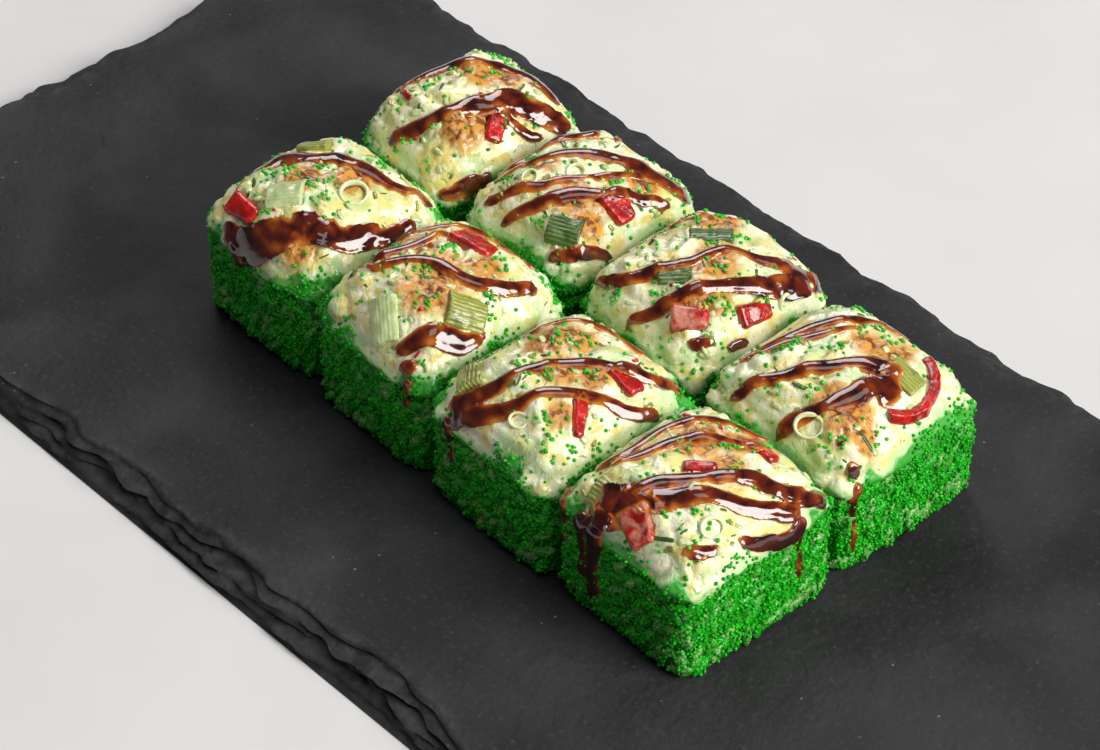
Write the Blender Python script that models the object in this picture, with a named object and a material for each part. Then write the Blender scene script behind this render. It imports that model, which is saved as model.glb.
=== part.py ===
"""Eight baked maki sushi rolls, served together on a slate board.

Each roll is a squarish block of rice under a domed, creamy baked topping. Pieces of red
pepper and green onion are set into pockets in the topping. Lengths are in metres, +X runs
along the board, +Z is up, and the origin is on the underside of the board, at its middle.
"""

import math
from dataclasses import dataclass

import bmesh
import bpy
from mathutils import Matrix, Vector

MM = 0.001
GAP = 0.3 * MM  # clearance kept between pieces that touch

# Slate board
BOARD_LENGTH = 300 * MM
BOARD_WIDTH = 150 * MM
BOARD_THICKNESS = 5.5 * MM
CHIPPED_WIDTH = 5.4 * MM  # mean width of the slope that the edge was knapped to
CHIPPED_SWING = 2.4 * MM  # how far that width varies along the edge
FOOT_CHIP = 1.2 * MM  # deepest chip in the outline of the underside
BOARD_SEGMENT = 7.5 * MM  # length of edge between two outline points
BOARD_RINGS = ((0.0, 0.0), (0.2, 0.12), (0.6, 0.5), (1.0, 1.0))  # height, share of the slope

# The block of rolls on the board: two rows of four, set down slightly askew
SERVING_CENTRE = Vector((3.0, 4.7, 0.0)) * MM
SERVING_TURN = math.radians(-1.9)

# Rice block
ROLL_SEGMENTS = 32
RICE_RINGS = ((0.0, 0.965), (0.16, 0.992), (0.6, 1.0), (1.0, 0.98))  # height, share of outline
RICE_WAVE = 0.012  # unevenness of the outline, as a share of it

# Topping
TOPPING_RIM = 1.3 * MM  # height of the topping's edge above the rice
TOPPING_FOOT = 0.97  # outline where it meets the rice, as a share of the roll's
TOPPING_BANDS = 6
CROWN_SQUARENESS = 4.0
CROWN_FALL = 2.3
CROWN_LUMP = 0.035  # unevenness of the crown's height, as a share of it
CROWN_STEP = math.radians(80)  # angle that the dome's rings are spread over

# Pieces set into the topping
PROUD = 0.7 * MM  # how far a piece stands out of the topping
BEVEL = 0.5 * MM
ONION_BEND = 5.5 * MM  # radius of the onion stalk that a piece was cut from
ONION_STEPS = 4
STRIP_STEPS = 8

SLATE = ("slate", (0.040, 0.040, 0.043), 0.62)
RICE = ("green_rice", (0.030, 0.220, 0.035), 0.45)
TOPPING = ("baked_topping", (0.780, 0.740, 0.520), 0.28)
PEPPER = ("red_pepper", (0.520, 0.012, 0.012), 0.25)
ONION = ("green_onion", (0.330, 0.420, 0.160), 0.35)


@dataclass(frozen=True)
class Roll:
    """One roll: its place in the serving, and its own slightly uneven sizes, in mm."""

    name: str
    along: float
    across: float
    half_length: float
    half_width: float
    rice_height: float
    crown_height: float
    squareness: float
    turn_deg: float = 0.0


@dataclass(frozen=True)
class Bit:
    """A piece of vegetable in a roll's topping: its place from the roll's middle, in mm."""

    roll: str
    finish: tuple
    along: float
    across: float
    length: float
    width: float
    thickness: float
    turn_deg: float


ROLLS = (
    Roll("roll_front_1", -52.5, -18.1, 17.8, 18.3, 18.5, 31.0, 6),
    Roll("roll_front_2", -17.4, -18.9, 16.8, 18.5, 18.5, 31.8, 7),
    Roll("roll_front_3", 17.0, -19.5, 16.8, 18.6, 18.3, 30.5, 8),
    Roll("roll_front_4", 51.4, -18.9, 17.0, 18.4, 18.8, 29.8, 10),
    Roll("roll_back_1", -54.1, 20.0, 15.8, 18.2, 18.5, 33.0, 6, -4.0),
    Roll("roll_back_2", -20.9, 19.7, 16.1, 18.5, 18.5, 32.0, 7),
    Roll("roll_back_3", 12.8, 19.6, 16.7, 18.6, 18.5, 32.0, 7),
    Roll("roll_back_4", 49.1, 19.4, 18.6, 18.5, 18.2, 30.5, 9),
)

BITS = (
    Bit("roll_front_1", PEPPER, -6.9, -14.6, 8.0, 5.0, 3.2, 0),
    Bit("roll_front_1", ONION, -1.8, -8.0, 7.4, 6.6, 1.8, 40),
    Bit("roll_front_1", ONION, -10.4, 6.0, 6.6, 3.6, 1.6, 30),
    Bit("roll_front_2", PEPPER, -1.4, 9.8, 9.0, 6.0, 3.2, 10),
    Bit("roll_front_2", ONION, 1.6, -14.8, 9.0, 5.4, 1.8, -45),
    Bit("roll_front_2", ONION, 11.6, -3.2, 7.6, 6.6, 1.8, 45),
    Bit("roll_front_3", PEPPER, 9.8, 6.8, 6.4, 5.0, 2.8, 0),
    Bit("roll_front_3", PEPPER, 11.0, -5.6, 7.6, 2.8, 2.4, -45),
    Bit("roll_front_3", ONION, -11.4, -12.2, 6.4, 5.4, 1.8, -40),
    Bit("roll_front_4", PEPPER, 1.6, -15.6, 7.2, 6.4, 3.0, -30),
    Bit("roll_front_4", PEPPER, 3.5, 12.0, 6.8, 4.0, 2.6, 0),
    Bit("roll_front_4", PEPPER, 0.8, -0.3, 6.2, 2.8, 2.4, 45),
    Bit("roll_front_4", ONION, -7.6, -14.6, 6.4, 5.6, 1.8, 0),
    Bit("roll_back_1", PEPPER, 11.0, -2.0, 6.2, 4.4, 2.6, -45),
    Bit("roll_back_2", PEPPER, 11.0, -0.8, 6.8, 6.0, 2.8, 0),
    Bit("roll_back_2", ONION, 8.6, -12.6, 6.6, 5.6, 1.6, 30),
    Bit("roll_back_3", PEPPER, 9.0, -12.4, 7.2, 5.4, 2.8, 40),
    Bit("roll_back_3", PEPPER, 14.2, -0.6, 7.4, 4.6, 2.4, 80),
    Bit("roll_back_3", ONION, -3.2, 4.6, 8.2, 4.0, 1.6, 45),
    Bit("roll_back_3", ONION, 0.2, -8.0, 6.2, 4.0, 1.6, 45),
    Bit("roll_back_4", ONION, 10.0, 5.0, 6.8, 4.6, 1.6, 10),
)

# The long curled strip of pepper on the last roll of the back row
STRIP_ROLL = "roll_back_4"
STRIP_CENTRE = (6.0, 3.4)
STRIP_RADIUS = 9.6
STRIP_FROM_DEG = 78
STRIP_TO_DEG = -38
STRIP_WIDTH = 2.0
STRIP_THICKNESS = 2.4


def clear_scene():
    """Removes every object that the file opened with."""
    for thing in list(bpy.data.objects):
        bpy.data.objects.remove(thing, do_unlink=True)


def new_collection(name):
    """Makes a collection in the scene."""
    collection = bpy.data.collections.new(name)
    bpy.context.scene.collection.children.link(collection)
    return collection


def finish_material(finish):
    """Returns the material of a finish, making it the first time."""
    name, colour, roughness = finish
    material = bpy.data.materials.get(name)
    if material is None:
        material = bpy.data.materials.new(name)
        material.use_nodes = True
        shader = material.node_tree.nodes["Principled BSDF"]
        shader.inputs["Base Color"].default_value = (*colour, 1.0)
        shader.inputs["Roughness"].default_value = roughness
        shader.inputs["Metallic"].default_value = 0.0
    return material


def add_object(name, bm, collection, finish=None):
    """Turns a bmesh into an object of the collection, round pieces shaded smooth."""
    bmesh.ops.recalc_face_normals(bm, faces=bm.faces)
    mesh = bpy.data.meshes.new(name)
    bm.to_mesh(mesh)
    bm.free()
    mesh.shade_smooth()
    mesh.set_sharp_from_angle(angle=math.radians(40))
    thing = bpy.data.objects.new(name, mesh)
    collection.objects.link(thing)
    if finish:
        mesh.materials.append(finish_material(finish))
    return thing


def ringed_bmesh(segments, bands, place, poke_top=False):
    """Makes a closed solid of stacked rings: a cone primitive whose points go to place(ring, angle)."""
    bm = bmesh.new()
    bmesh.ops.create_cone(
        bm, cap_ends=True, segments=segments, radius1=1, radius2=1, depth=bands
    )
    uprights = [e for e in bm.edges if abs(e.verts[0].co.z - e.verts[1].co.z) > 0.5]
    bmesh.ops.subdivide_edges(bm, edges=uprights, cuts=bands - 1)
    if poke_top:
        top = [f for f in bm.faces if min(v.co.z for v in f.verts) > bands / 2 - 0.5]
        bmesh.ops.poke(bm, faces=top)
    for vert in bm.verts:
        ring = round(vert.co.z + bands / 2)
        if vert.co.xy.length < 0.5:
            vert.co = place(ring, None)
        else:
            vert.co = place(ring, math.atan2(vert.co.y, vert.co.x))
    return bm


def board_outline(angle):
    """Walks the rectangle of the board once as the angle goes round, at even steps."""
    share = (angle / math.tau) % 1.0
    walked = share * 2 * (BOARD_LENGTH + BOARD_WIDTH)
    corners = (
        Vector((BOARD_LENGTH, -BOARD_WIDTH)) / 2,
        Vector((BOARD_LENGTH, BOARD_WIDTH)) / 2,
        Vector((-BOARD_LENGTH, BOARD_WIDTH)) / 2,
        Vector((-BOARD_LENGTH, -BOARD_WIDTH)) / 2,
    )
    for index, start in enumerate(corners):
        side = corners[(index + 1) % 4] - start
        if walked <= side.length:
            return start + side.normalized() * walked
        walked -= side.length
    return corners[0]


def board_point(ring, angle):
    """Places a point of the board: its edge slopes in, by a width that varies like knapped stone."""
    height, share = BOARD_RINGS[ring]
    swing = 0.55 * math.sin(9 * angle + 0.6) + 0.45 * math.sin(23 * angle + 2.0)
    ripple = 0.35 * math.sin(41 * angle + ring)
    foot = FOOT_CHIP * max(0.0, math.sin(17 * angle) + 0.4 * math.sin(31 * angle) - 0.4)
    inset = foot * (1 - share) + share * (CHIPPED_WIDTH + CHIPPED_SWING * (swing + ripple))
    point = board_outline(angle)
    return Vector(
        (
            point.x * (1 - inset / (BOARD_LENGTH / 2)),
            point.y * (1 - inset / (BOARD_WIDTH / 2)),
            height * BOARD_THICKNESS,
        )
    )


def make_board(parts):
    """The slate board, flat on both faces, with chipped sloping edges."""
    segments = round(2 * (BOARD_LENGTH + BOARD_WIDTH) / BOARD_SEGMENT)
    bm = ringed_bmesh(segments, len(BOARD_RINGS) - 1, board_point)
    return add_object("slate_board", bm, parts, SLATE)


def roll_outline(roll, angle, squareness):
    """A point of the roll's outline, in metres: a rectangle with well rounded corners."""
    cosine, sine = math.cos(angle), math.sin(angle)
    power = 2 / squareness
    return Vector(
        (
            math.copysign(abs(cosine) ** power, cosine) * roll.half_length * MM,
            math.copysign(abs(sine) ** power, sine) * roll.half_width * MM,
        )
    )


def wave(roll, angle, lobes):
    """A smooth unevenness from -1 to 0 that differs from roll to roll."""
    phase = roll.along + 0.7 * roll.across
    return 0.5 * (math.sin(lobes * angle + phase) - 1)


def crown(roll, x, y):
    """Height of the topping's surface over the rice, at x, y metres from the roll's middle."""
    reach = (
        abs(x / (roll.half_length * MM)) ** CROWN_SQUARENESS
        + abs(y / (roll.half_width * MM)) ** CROWN_SQUARENESS
    ) ** (1 / CROWN_SQUARENESS)
    fall = math.sqrt(1 - min(reach, 1.0) ** CROWN_FALL)
    full = (roll.crown_height - roll.rice_height) * MM - TOPPING_RIM
    lumps = math.sin(330 * x + roll.along) * math.sin(290 * y + roll.across)
    return TOPPING_RIM + full * fall * (1 + CROWN_LUMP * lumps)


def make_rice(roll, parts):
    """The rice block of a roll, slightly narrower at its foot."""

    def place(ring, angle):
        height, share = RICE_RINGS[ring]
        uneven = 1 + RICE_WAVE * wave(roll, angle + 0.5 * ring, 5)
        point = roll_outline(roll, angle, roll.squareness) * share * uneven
        return Vector((*point, GAP + height * (roll.rice_height * MM - GAP)))

    bm = ringed_bmesh(ROLL_SEGMENTS, len(RICE_RINGS) - 1, place)
    return add_object(f"{roll.name}_rice", bm, parts, RICE)


def make_topping(roll, parts):
    """The baked topping of a roll: a soft dome whose edge bulges over the rice."""
    floor = roll.rice_height * MM + GAP

    def place(ring, angle):
        if angle is None:
            return Vector((0, 0, floor + crown(roll, 0, 0)))
        if ring == 0:
            foot = roll_outline(roll, angle, roll.squareness) * TOPPING_FOOT
            return Vector((*foot, floor))
        reach = math.cos(CROWN_STEP * (ring - 1) / (TOPPING_BANDS - 1))
        squareness = 2.4 + (roll.squareness - 2.4) * reach**3
        uneven = 1 + RICE_WAVE * wave(roll, angle, 5) * reach
        point = roll_outline(roll, angle, squareness) * reach * uneven
        return Vector((*point, floor + crown(roll, point.x, point.y)))

    bm = ringed_bmesh(ROLL_SEGMENTS, TOPPING_BANDS, place, poke_top=True)
    return add_object(f"{roll.name}_topping", bm, parts, TOPPING)


def pepper_bmesh(bit, grow):
    """A diced piece of pepper: a block that narrows to one end, its edges softened."""
    bm = bmesh.new()
    bmesh.ops.create_cube(bm, size=1)
    size = Vector((bit.length, bit.width, bit.thickness)) * MM
    size += Vector((2, 2, 2)) * grow
    for vert in bm.verts:
        narrow = 1 - 0.28 * (vert.co.x + 0.5)
        vert.co = Vector((vert.co.x * size.x, vert.co.y * size.y * narrow, vert.co.z * size.z))
    bmesh.ops.bevel(
        bm, geom=bm.edges[:], offset=BEVEL, segments=1, affect="EDGES", profile=0.5
    )
    return bm


def onion_bmesh(bit, grow):
    """A short length of green onion stalk, opened out: a plate curved across its width."""
    bm = bmesh.new()
    bmesh.ops.create_cube(bm, size=1)
    across = [e for e in bm.edges if abs(e.verts[0].co.y - e.verts[1].co.y) > 0.5]
    bmesh.ops.subdivide_edges(bm, edges=across, cuts=ONION_STEPS - 1, use_grid_fill=True)
    half_angle = (bit.width * MM / 2 + grow) / ONION_BEND
    for vert in bm.verts:
        angle = vert.co.y * 2 * half_angle
        radius = ONION_BEND + vert.co.z * (bit.thickness * MM + 2 * grow)
        length = vert.co.x * (bit.length * MM + 2 * grow)
        vert.co = Vector((length, radius * math.sin(angle), radius * math.cos(angle) - ONION_BEND))
    return bm


def strip_bmesh(roll, grow):
    """The curled pepper strip: a bar bent round an arc that lies on the crown."""
    bm = bmesh.new()
    bmesh.ops.create_cube(bm, size=1)
    along = [e for e in bm.edges if abs(e.verts[0].co.x - e.verts[1].co.x) > 0.5]
    bmesh.ops.subdivide_edges(bm, edges=along, cuts=STRIP_STEPS - 1, use_grid_fill=True)
    turn = math.radians(STRIP_TO_DEG - STRIP_FROM_DEG)
    end_share = grow / (abs(turn) * STRIP_RADIUS * MM)
    floor = roll.rice_height * MM + GAP
    for vert in bm.verts:
        share = 0.5 + vert.co.x * (1 + 2 * end_share)
        angle = math.radians(STRIP_FROM_DEG) + share * turn
        spine = Vector(STRIP_CENTRE) + STRIP_RADIUS * Vector((math.cos(angle), math.sin(angle)))
        radius = STRIP_RADIUS * MM + vert.co.y * (STRIP_WIDTH * MM + 2 * grow)
        x = STRIP_CENTRE[0] * MM + radius * math.cos(angle)
        y = STRIP_CENTRE[1] * MM + radius * math.sin(angle)
        middle = floor + crown(roll, *(spine * MM)) + PROUD - STRIP_THICKNESS * MM / 2
        vert.co = Vector((x, y, middle + vert.co.z * (STRIP_THICKNESS * MM + 2 * grow)))
    return bm


def crown_rotation(roll, x, y, turn):
    """The rotation that lays a flat piece on the crown, turned about its normal."""
    step = 0.5 * MM
    slope_x = (crown(roll, x + step, y) - crown(roll, x - step, y)) / (2 * step)
    slope_y = (crown(roll, x, y + step) - crown(roll, x, y - step)) / (2 * step)
    normal = Vector((-slope_x, -slope_y, 1)).normalized()
    tilt = Vector((0, 0, 1)).rotation_difference(normal).to_matrix().to_4x4()
    return tilt @ Matrix.Rotation(turn, 4, "Z"), normal


def cut_pocket(thing, cutter):
    """Cuts the cutter out of a solid with an exact Boolean."""
    pocket = thing.modifiers.new(f"pocket_{cutter.name}", "BOOLEAN")
    pocket.operation = "DIFFERENCE"
    pocket.solver = "EXACT"
    pocket.object = cutter


def make_cutter(name, bm, cutters):
    """Makes a hidden wire object that only serves to cut others."""
    cutter = add_object(name, bm, cutters)
    cutter.hide_render = True
    cutter.display_type = "WIRE"
    return cutter


def set_in(bit, name, roll, hosts, parts, cutters):
    """Sets one piece of vegetable into the topping, in a pocket that clears it all round."""
    shape = pepper_bmesh if bit.finish is PEPPER else onion_bmesh
    piece = add_object(name, shape(bit, 0.0), parts, bit.finish)
    cutter = make_cutter(f"{name}_pocket", shape(bit, GAP), cutters)
    x, y = bit.along * MM, bit.across * MM
    rotation, normal = crown_rotation(roll, x, y, math.radians(bit.turn_deg))
    surface = Vector((x, y, roll.rice_height * MM + GAP + crown(roll, x, y)))
    sunk = surface + normal * (PROUD - bit.thickness * MM / 2)
    for thing in (piece, cutter):
        thing.matrix_local = Matrix.Translation(sunk) @ rotation
    for host in hosts:
        cut_pocket(host, cutter)
    return piece, cutter


def make_roll(roll, parts, cutters):
    """Builds one roll and everything set into it, held by an empty at the roll's place."""
    rice = make_rice(roll, parts)
    topping = make_topping(roll, parts)
    things = [rice, topping]
    counts = {}
    for bit in (b for b in BITS if b.roll == roll.name):
        kind = "pepper" if bit.finish is PEPPER else "onion"
        counts[kind] = counts.get(kind, 0) + 1
        name = f"{roll.name}_{kind}_{counts[kind]}"
        things += set_in(bit, name, roll, [topping], parts, cutters)
    if roll.name == STRIP_ROLL:
        name = f"{roll.name}_pepper_strip"
        strip = add_object(name, strip_bmesh(roll, 0.0), parts, PEPPER)
        cutter = make_cutter(f"{name}_pocket", strip_bmesh(roll, GAP), cutters)
        cut_pocket(topping, cutter)
        things += [strip, cutter]
    holder = bpy.data.objects.new(f"{roll.name}_place", None)
    parts.objects.link(holder)
    place = Matrix.Rotation(SERVING_TURN, 4, "Z") @ Matrix.Translation(
        Vector((roll.along, roll.across, 0)) * MM
    )
    lift = Matrix.Translation(SERVING_CENTRE + Vector((0, 0, BOARD_THICKNESS)))
    holder.matrix_world = lift @ place @ Matrix.Rotation(math.radians(roll.turn_deg), 4, "Z")
    for thing in things:
        thing.parent = holder


def main():
    """Builds the whole serving."""
    clear_scene()
    parts = new_collection("maki_sushi_serving")
    cutters = new_collection("cutters")
    make_board(parts)
    for roll in ROLLS:
        make_roll(roll, parts, cutters)


if __name__ == "__main__":
    main()
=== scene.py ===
"""Dresses a serving of eight baked maki rolls on a slate board.

Each roll is a block of rice rolled in green roe, under a creamy topping that was browned in the
oven. Diced red pepper and green onion are set into the topping, and a thick dark sauce is
drizzled over it. Lengths are in metres, and a name that ends in _mm is in millimetres.
"""

import logging
import math
from dataclasses import dataclass, field
from enum import Enum

import bmesh
import bpy
import numpy as np
from mathutils import Matrix, Vector, noise
from mathutils.bvhtree import BVHTree


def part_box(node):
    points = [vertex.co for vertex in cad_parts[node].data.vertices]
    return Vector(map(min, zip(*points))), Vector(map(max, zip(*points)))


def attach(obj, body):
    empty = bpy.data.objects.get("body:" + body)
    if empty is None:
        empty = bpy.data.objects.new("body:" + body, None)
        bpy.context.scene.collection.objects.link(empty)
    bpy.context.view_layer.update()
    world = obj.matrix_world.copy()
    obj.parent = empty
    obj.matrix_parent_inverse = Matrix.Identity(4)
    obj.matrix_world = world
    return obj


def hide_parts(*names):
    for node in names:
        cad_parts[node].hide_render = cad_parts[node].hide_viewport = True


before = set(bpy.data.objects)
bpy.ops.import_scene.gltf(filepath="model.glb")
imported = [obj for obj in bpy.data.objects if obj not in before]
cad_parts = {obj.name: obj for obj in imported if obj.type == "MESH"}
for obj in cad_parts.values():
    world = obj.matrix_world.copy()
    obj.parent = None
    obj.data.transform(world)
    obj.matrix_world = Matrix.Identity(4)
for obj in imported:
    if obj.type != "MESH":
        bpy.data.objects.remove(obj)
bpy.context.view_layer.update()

MM = 0.001
DOWN = Vector((0, 0, -1))
DROP_START = 10 * MM  # how far above a crown things are dropped from
DROP_REACH = 40 * MM  # how far they may fall
OFF_SIDE_MM = 4  # how far outside a roll's side places are laid out
SEEDS_A_ROLL = 100
VEGETABLE_SEEDS = 60
STRAY_SEEDS = 70
STRAY_SWELL = 1.06
LOG = logging.getLogger("maki_serving")

Colour = tuple[float, float, float]


class Side(Enum):
    """The sides that sauce runs down, as the outward direction in the roll's own axes."""

    NEAR_END = (1.0, 0.0)
    FRONT = (0.0, -1.0)


# ---------------------------------------------------------------------------------------------
# Mesh helpers
# ---------------------------------------------------------------------------------------------


def linked(name: str, data: bpy.types.ID) -> bpy.types.Object:
    """Makes an object and links it to the scene.

    Args:
        name: The object's name.
        data: Its mesh, light or camera.

    Returns:
        The object.
    """
    thing = bpy.data.objects.new(name, data)
    bpy.context.scene.collection.objects.link(thing)
    return thing


def report(thing: bpy.types.Object) -> None:
    """Logs a finished piece."""
    LOG.info("%s: %d faces", thing.name, len(thing.data.polygons))


def mesh_object(name: str, points: np.ndarray, faces: np.ndarray) -> bpy.types.Object:
    """Makes a smooth-shaded object from arrays of points and of equal-sided faces.

    Args:
        name: The piece's name.
        points: One row of x, y, z a point.
        faces: One row of point numbers a face, all triangles or all quads.

    Returns:
        The new object, linked to the scene.
    """
    mesh = bpy.data.meshes.new(name)
    sides = faces.shape[1]
    mesh.vertices.add(len(points))
    mesh.vertices.foreach_set("co", np.asarray(points, np.float32).ravel())
    mesh.loops.add(faces.size)
    mesh.loops.foreach_set("vertex_index", faces.astype(np.int32).ravel())
    mesh.polygons.add(len(faces))
    mesh.polygons.foreach_set("loop_start", np.arange(0, faces.size, sides, dtype=np.int32))
    mesh.update(calc_edges=True)
    mesh.validate()
    mesh.shade_smooth()
    return linked(name, mesh)


def points_of(thing: bpy.types.Object) -> np.ndarray:
    """Returns the object's points, one row each.

    Args:
        thing: The object.

    Returns:
        One row of x, y, z a point.
    """
    flat = np.empty(len(thing.data.vertices) * 3, np.float32)
    thing.data.vertices.foreach_get("co", flat)
    return flat.reshape(-1, 3).astype(float)


def normals_of(thing: bpy.types.Object) -> np.ndarray:
    """Returns the normal at each of the object's points, one row each.

    Args:
        thing: The object.

    Returns:
        One unit vector a row.
    """
    flat = np.empty(len(thing.data.vertices) * 3, np.float32)
    thing.data.vertex_normals.foreach_get("vector", flat)
    return flat.reshape(-1, 3).astype(float)


def move_points(thing: bpy.types.Object, points: np.ndarray) -> None:
    """Puts the object's points at new places."""
    thing.data.vertices.foreach_set("co", points.astype(np.float32).ravel())
    thing.data.update()


def mark(thing: bpy.types.Object, name: str, values: np.ndarray) -> None:
    """Stores one number a point on the mesh, for its material to read."""
    attribute = thing.data.attributes.new(name, "FLOAT", "POINT")
    attribute.data.foreach_set("value", values.astype(np.float32))


def ring_faces(rings: int, around: int) -> np.ndarray:
    """Joins rings of points into a tube of quads.

    Args:
        rings: How many rings there are, from the first to the last.
        around: Points in each ring.

    Returns:
        One row of four point numbers a face, facing out for rings that climb counter-clockwise.
    """
    ring = np.arange(rings - 1)[:, None] * around
    here = np.arange(around)[None, :]
    after = (here + 1) % around
    quads = np.stack([ring + here, ring + after, ring + after + around, ring + here + around], -1)
    return quads.reshape(-1, 4)


def closed_rings(rings: int, around: int) -> list[list[int]]:
    """Joins rings of points into a tube with a lid on both ends.

    Args:
        rings: How many rings there are, from the first to the last.
        around: Points in each ring.

    Returns:
        The point numbers of each face.
    """
    last = (rings - 1) * around
    lids = [list(range(around))[::-1], list(range(last, last + around))]
    return ring_faces(rings, around).tolist() + lids


def solid_object(name: str, points: np.ndarray, faces: list[list[int]]) -> bpy.types.Object:
    """Makes a smooth-shaded object from faces of any number of sides.

    Args:
        name: The piece's name.
        points: One row of x, y, z a point.
        faces: The point numbers of each face.

    Returns:
        The new object, linked to the scene.
    """
    mesh = bpy.data.meshes.new(name)
    mesh.from_pydata(points.tolist(), [], faces)
    mesh.shade_smooth()
    return linked(name, mesh)


def remesh(thing: bpy.types.Object, voxel: float, rounds: int, share: float = 0.5) -> None:
    """Rebuilds an object's skin from small cubes and smooths it.

    Args:
        thing: The object.
        voxel: Size of the cubes.
        rounds: How often it is smoothed.
        share: How far each smoothing moves a point toward its neighbours.
    """
    cubes = thing.modifiers.new("cubes", "REMESH")
    cubes.mode = "VOXEL"
    cubes.voxel_size = voxel
    settle = thing.modifiers.new("settle", "SMOOTH")
    settle.factor = share
    settle.iterations = rounds
    graph = bpy.context.evaluated_depsgraph_get()
    graph.update()
    made = bpy.data.meshes.new_from_object(thing.evaluated_get(graph))
    thing.modifiers.clear()
    thing.data = made


def bumps(points: np.ndarray, cell: float, seed: float) -> np.ndarray:
    """Smooth noise at points.

    Args:
        points: Where to read it, one row each.
        cell: Size of a bump.
        seed: Shifts the pattern, so that no two uses look alike.

    Returns:
        A value from about -1 to 1 a point.
    """
    shifted = points / cell + seed * 17.3
    return np.array([noise.noise(p) for p in shifted.tolist()])


def bvh_of(things: list[bpy.types.Object]) -> BVHTree:
    """Builds one search tree over the faces of several objects.

    Args:
        things: The objects.

    Returns:
        The tree, for casting rays and finding the nearest face.
    """
    corners: list[Vector] = []
    faces: list[list[int]] = []
    for thing in things:
        start = len(corners)
        corners += [v.co.copy() for v in thing.data.vertices]
        faces += [[start + i for i in p.vertices] for p in thing.data.polygons]
    return BVHTree.FromPolygons(corners, faces)


def primitive_arrays(kind: str, **sizes: float) -> tuple[np.ndarray, np.ndarray]:
    """Points and triangles of a bmesh primitive, in the same order on every run.

    Args:
        kind: The bmesh operator's name, such as create_icosphere.
        **sizes: What the operator takes.

    Returns:
        Its points and its triangles, as arrays.
    """
    bm = bmesh.new()
    getattr(bmesh.ops, kind)(bm, **sizes)
    bmesh.ops.triangulate(bm, faces=bm.faces)
    bm.verts.ensure_lookup_table()
    points = np.array([v.co[:] for v in bm.verts])
    faces = [[v.index for v in f.verts] for f in bm.faces]
    bm.free()
    turned = np.array([np.roll(face, -int(np.argmin(face))) for face in faces])
    return points, turned[np.lexsort(turned.T[::-1])]


def frames_along(normals: np.ndarray, spins: np.ndarray) -> np.ndarray:
    """Rotation matrices whose third column is the normal, spun about it.

    Args:
        normals: Unit vectors, one row each.
        spins: Angles in radians, one each.

    Returns:
        One 3 by 3 matrix a row.
    """
    helper = np.where(np.abs(normals[:, 2:]) < 0.9, [[0.0, 0.0, 1.0]], [[1.0, 0.0, 0.0]])
    level = np.cross(helper, normals)
    level /= np.linalg.norm(level, axis=1, keepdims=True)
    upright = np.cross(normals, level)
    cosine, sine = np.cos(spins)[:, None], np.sin(spins)[:, None]
    first = level * cosine + upright * sine
    second = np.cross(normals, first)
    return np.stack([first, second, normals], -1)


def scatter(
    name: str,
    shape: tuple[np.ndarray, np.ndarray],
    places: np.ndarray,
    frames: np.ndarray,
    sizes: np.ndarray,
) -> bpy.types.Object:
    """Joins many copies of a small shape into one mesh.

    Args:
        name: The piece's name.
        shape: The small shape's points and triangles, of unit size.
        places: Where each copy's middle goes.
        frames: A rotation matrix a copy.
        sizes: Half-sizes of each copy along its own three axes.

    Returns:
        The joined object.
    """
    points, faces = shape
    scaled = points[None, :, :] * sizes[:, None, :]
    turned = np.einsum("nij,nkj->nki", frames, scaled) + places[:, None, :]
    numbers = faces[None, :, :] + (np.arange(len(places)) * len(points))[:, None, None]
    return mesh_object(name, turned.reshape(-1, 3), numbers.reshape(-1, faces.shape[1]))


def ride_root(thing: bpy.types.Object, slot: str, *nodes: str) -> bpy.types.Object:
    """Fixes a piece to the serving and hides the CAD nodes that it replaces.

    Args:
        thing: The piece.
        slot: The record's material slot; not used.
        *nodes: CAD nodes that the piece replaces.

    Returns:
        The piece.
    """
    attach(thing, "root")
    if nodes:
        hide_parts(*nodes)
    return thing


# ---------------------------------------------------------------------------------------------
# Finishes
# ---------------------------------------------------------------------------------------------


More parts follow.
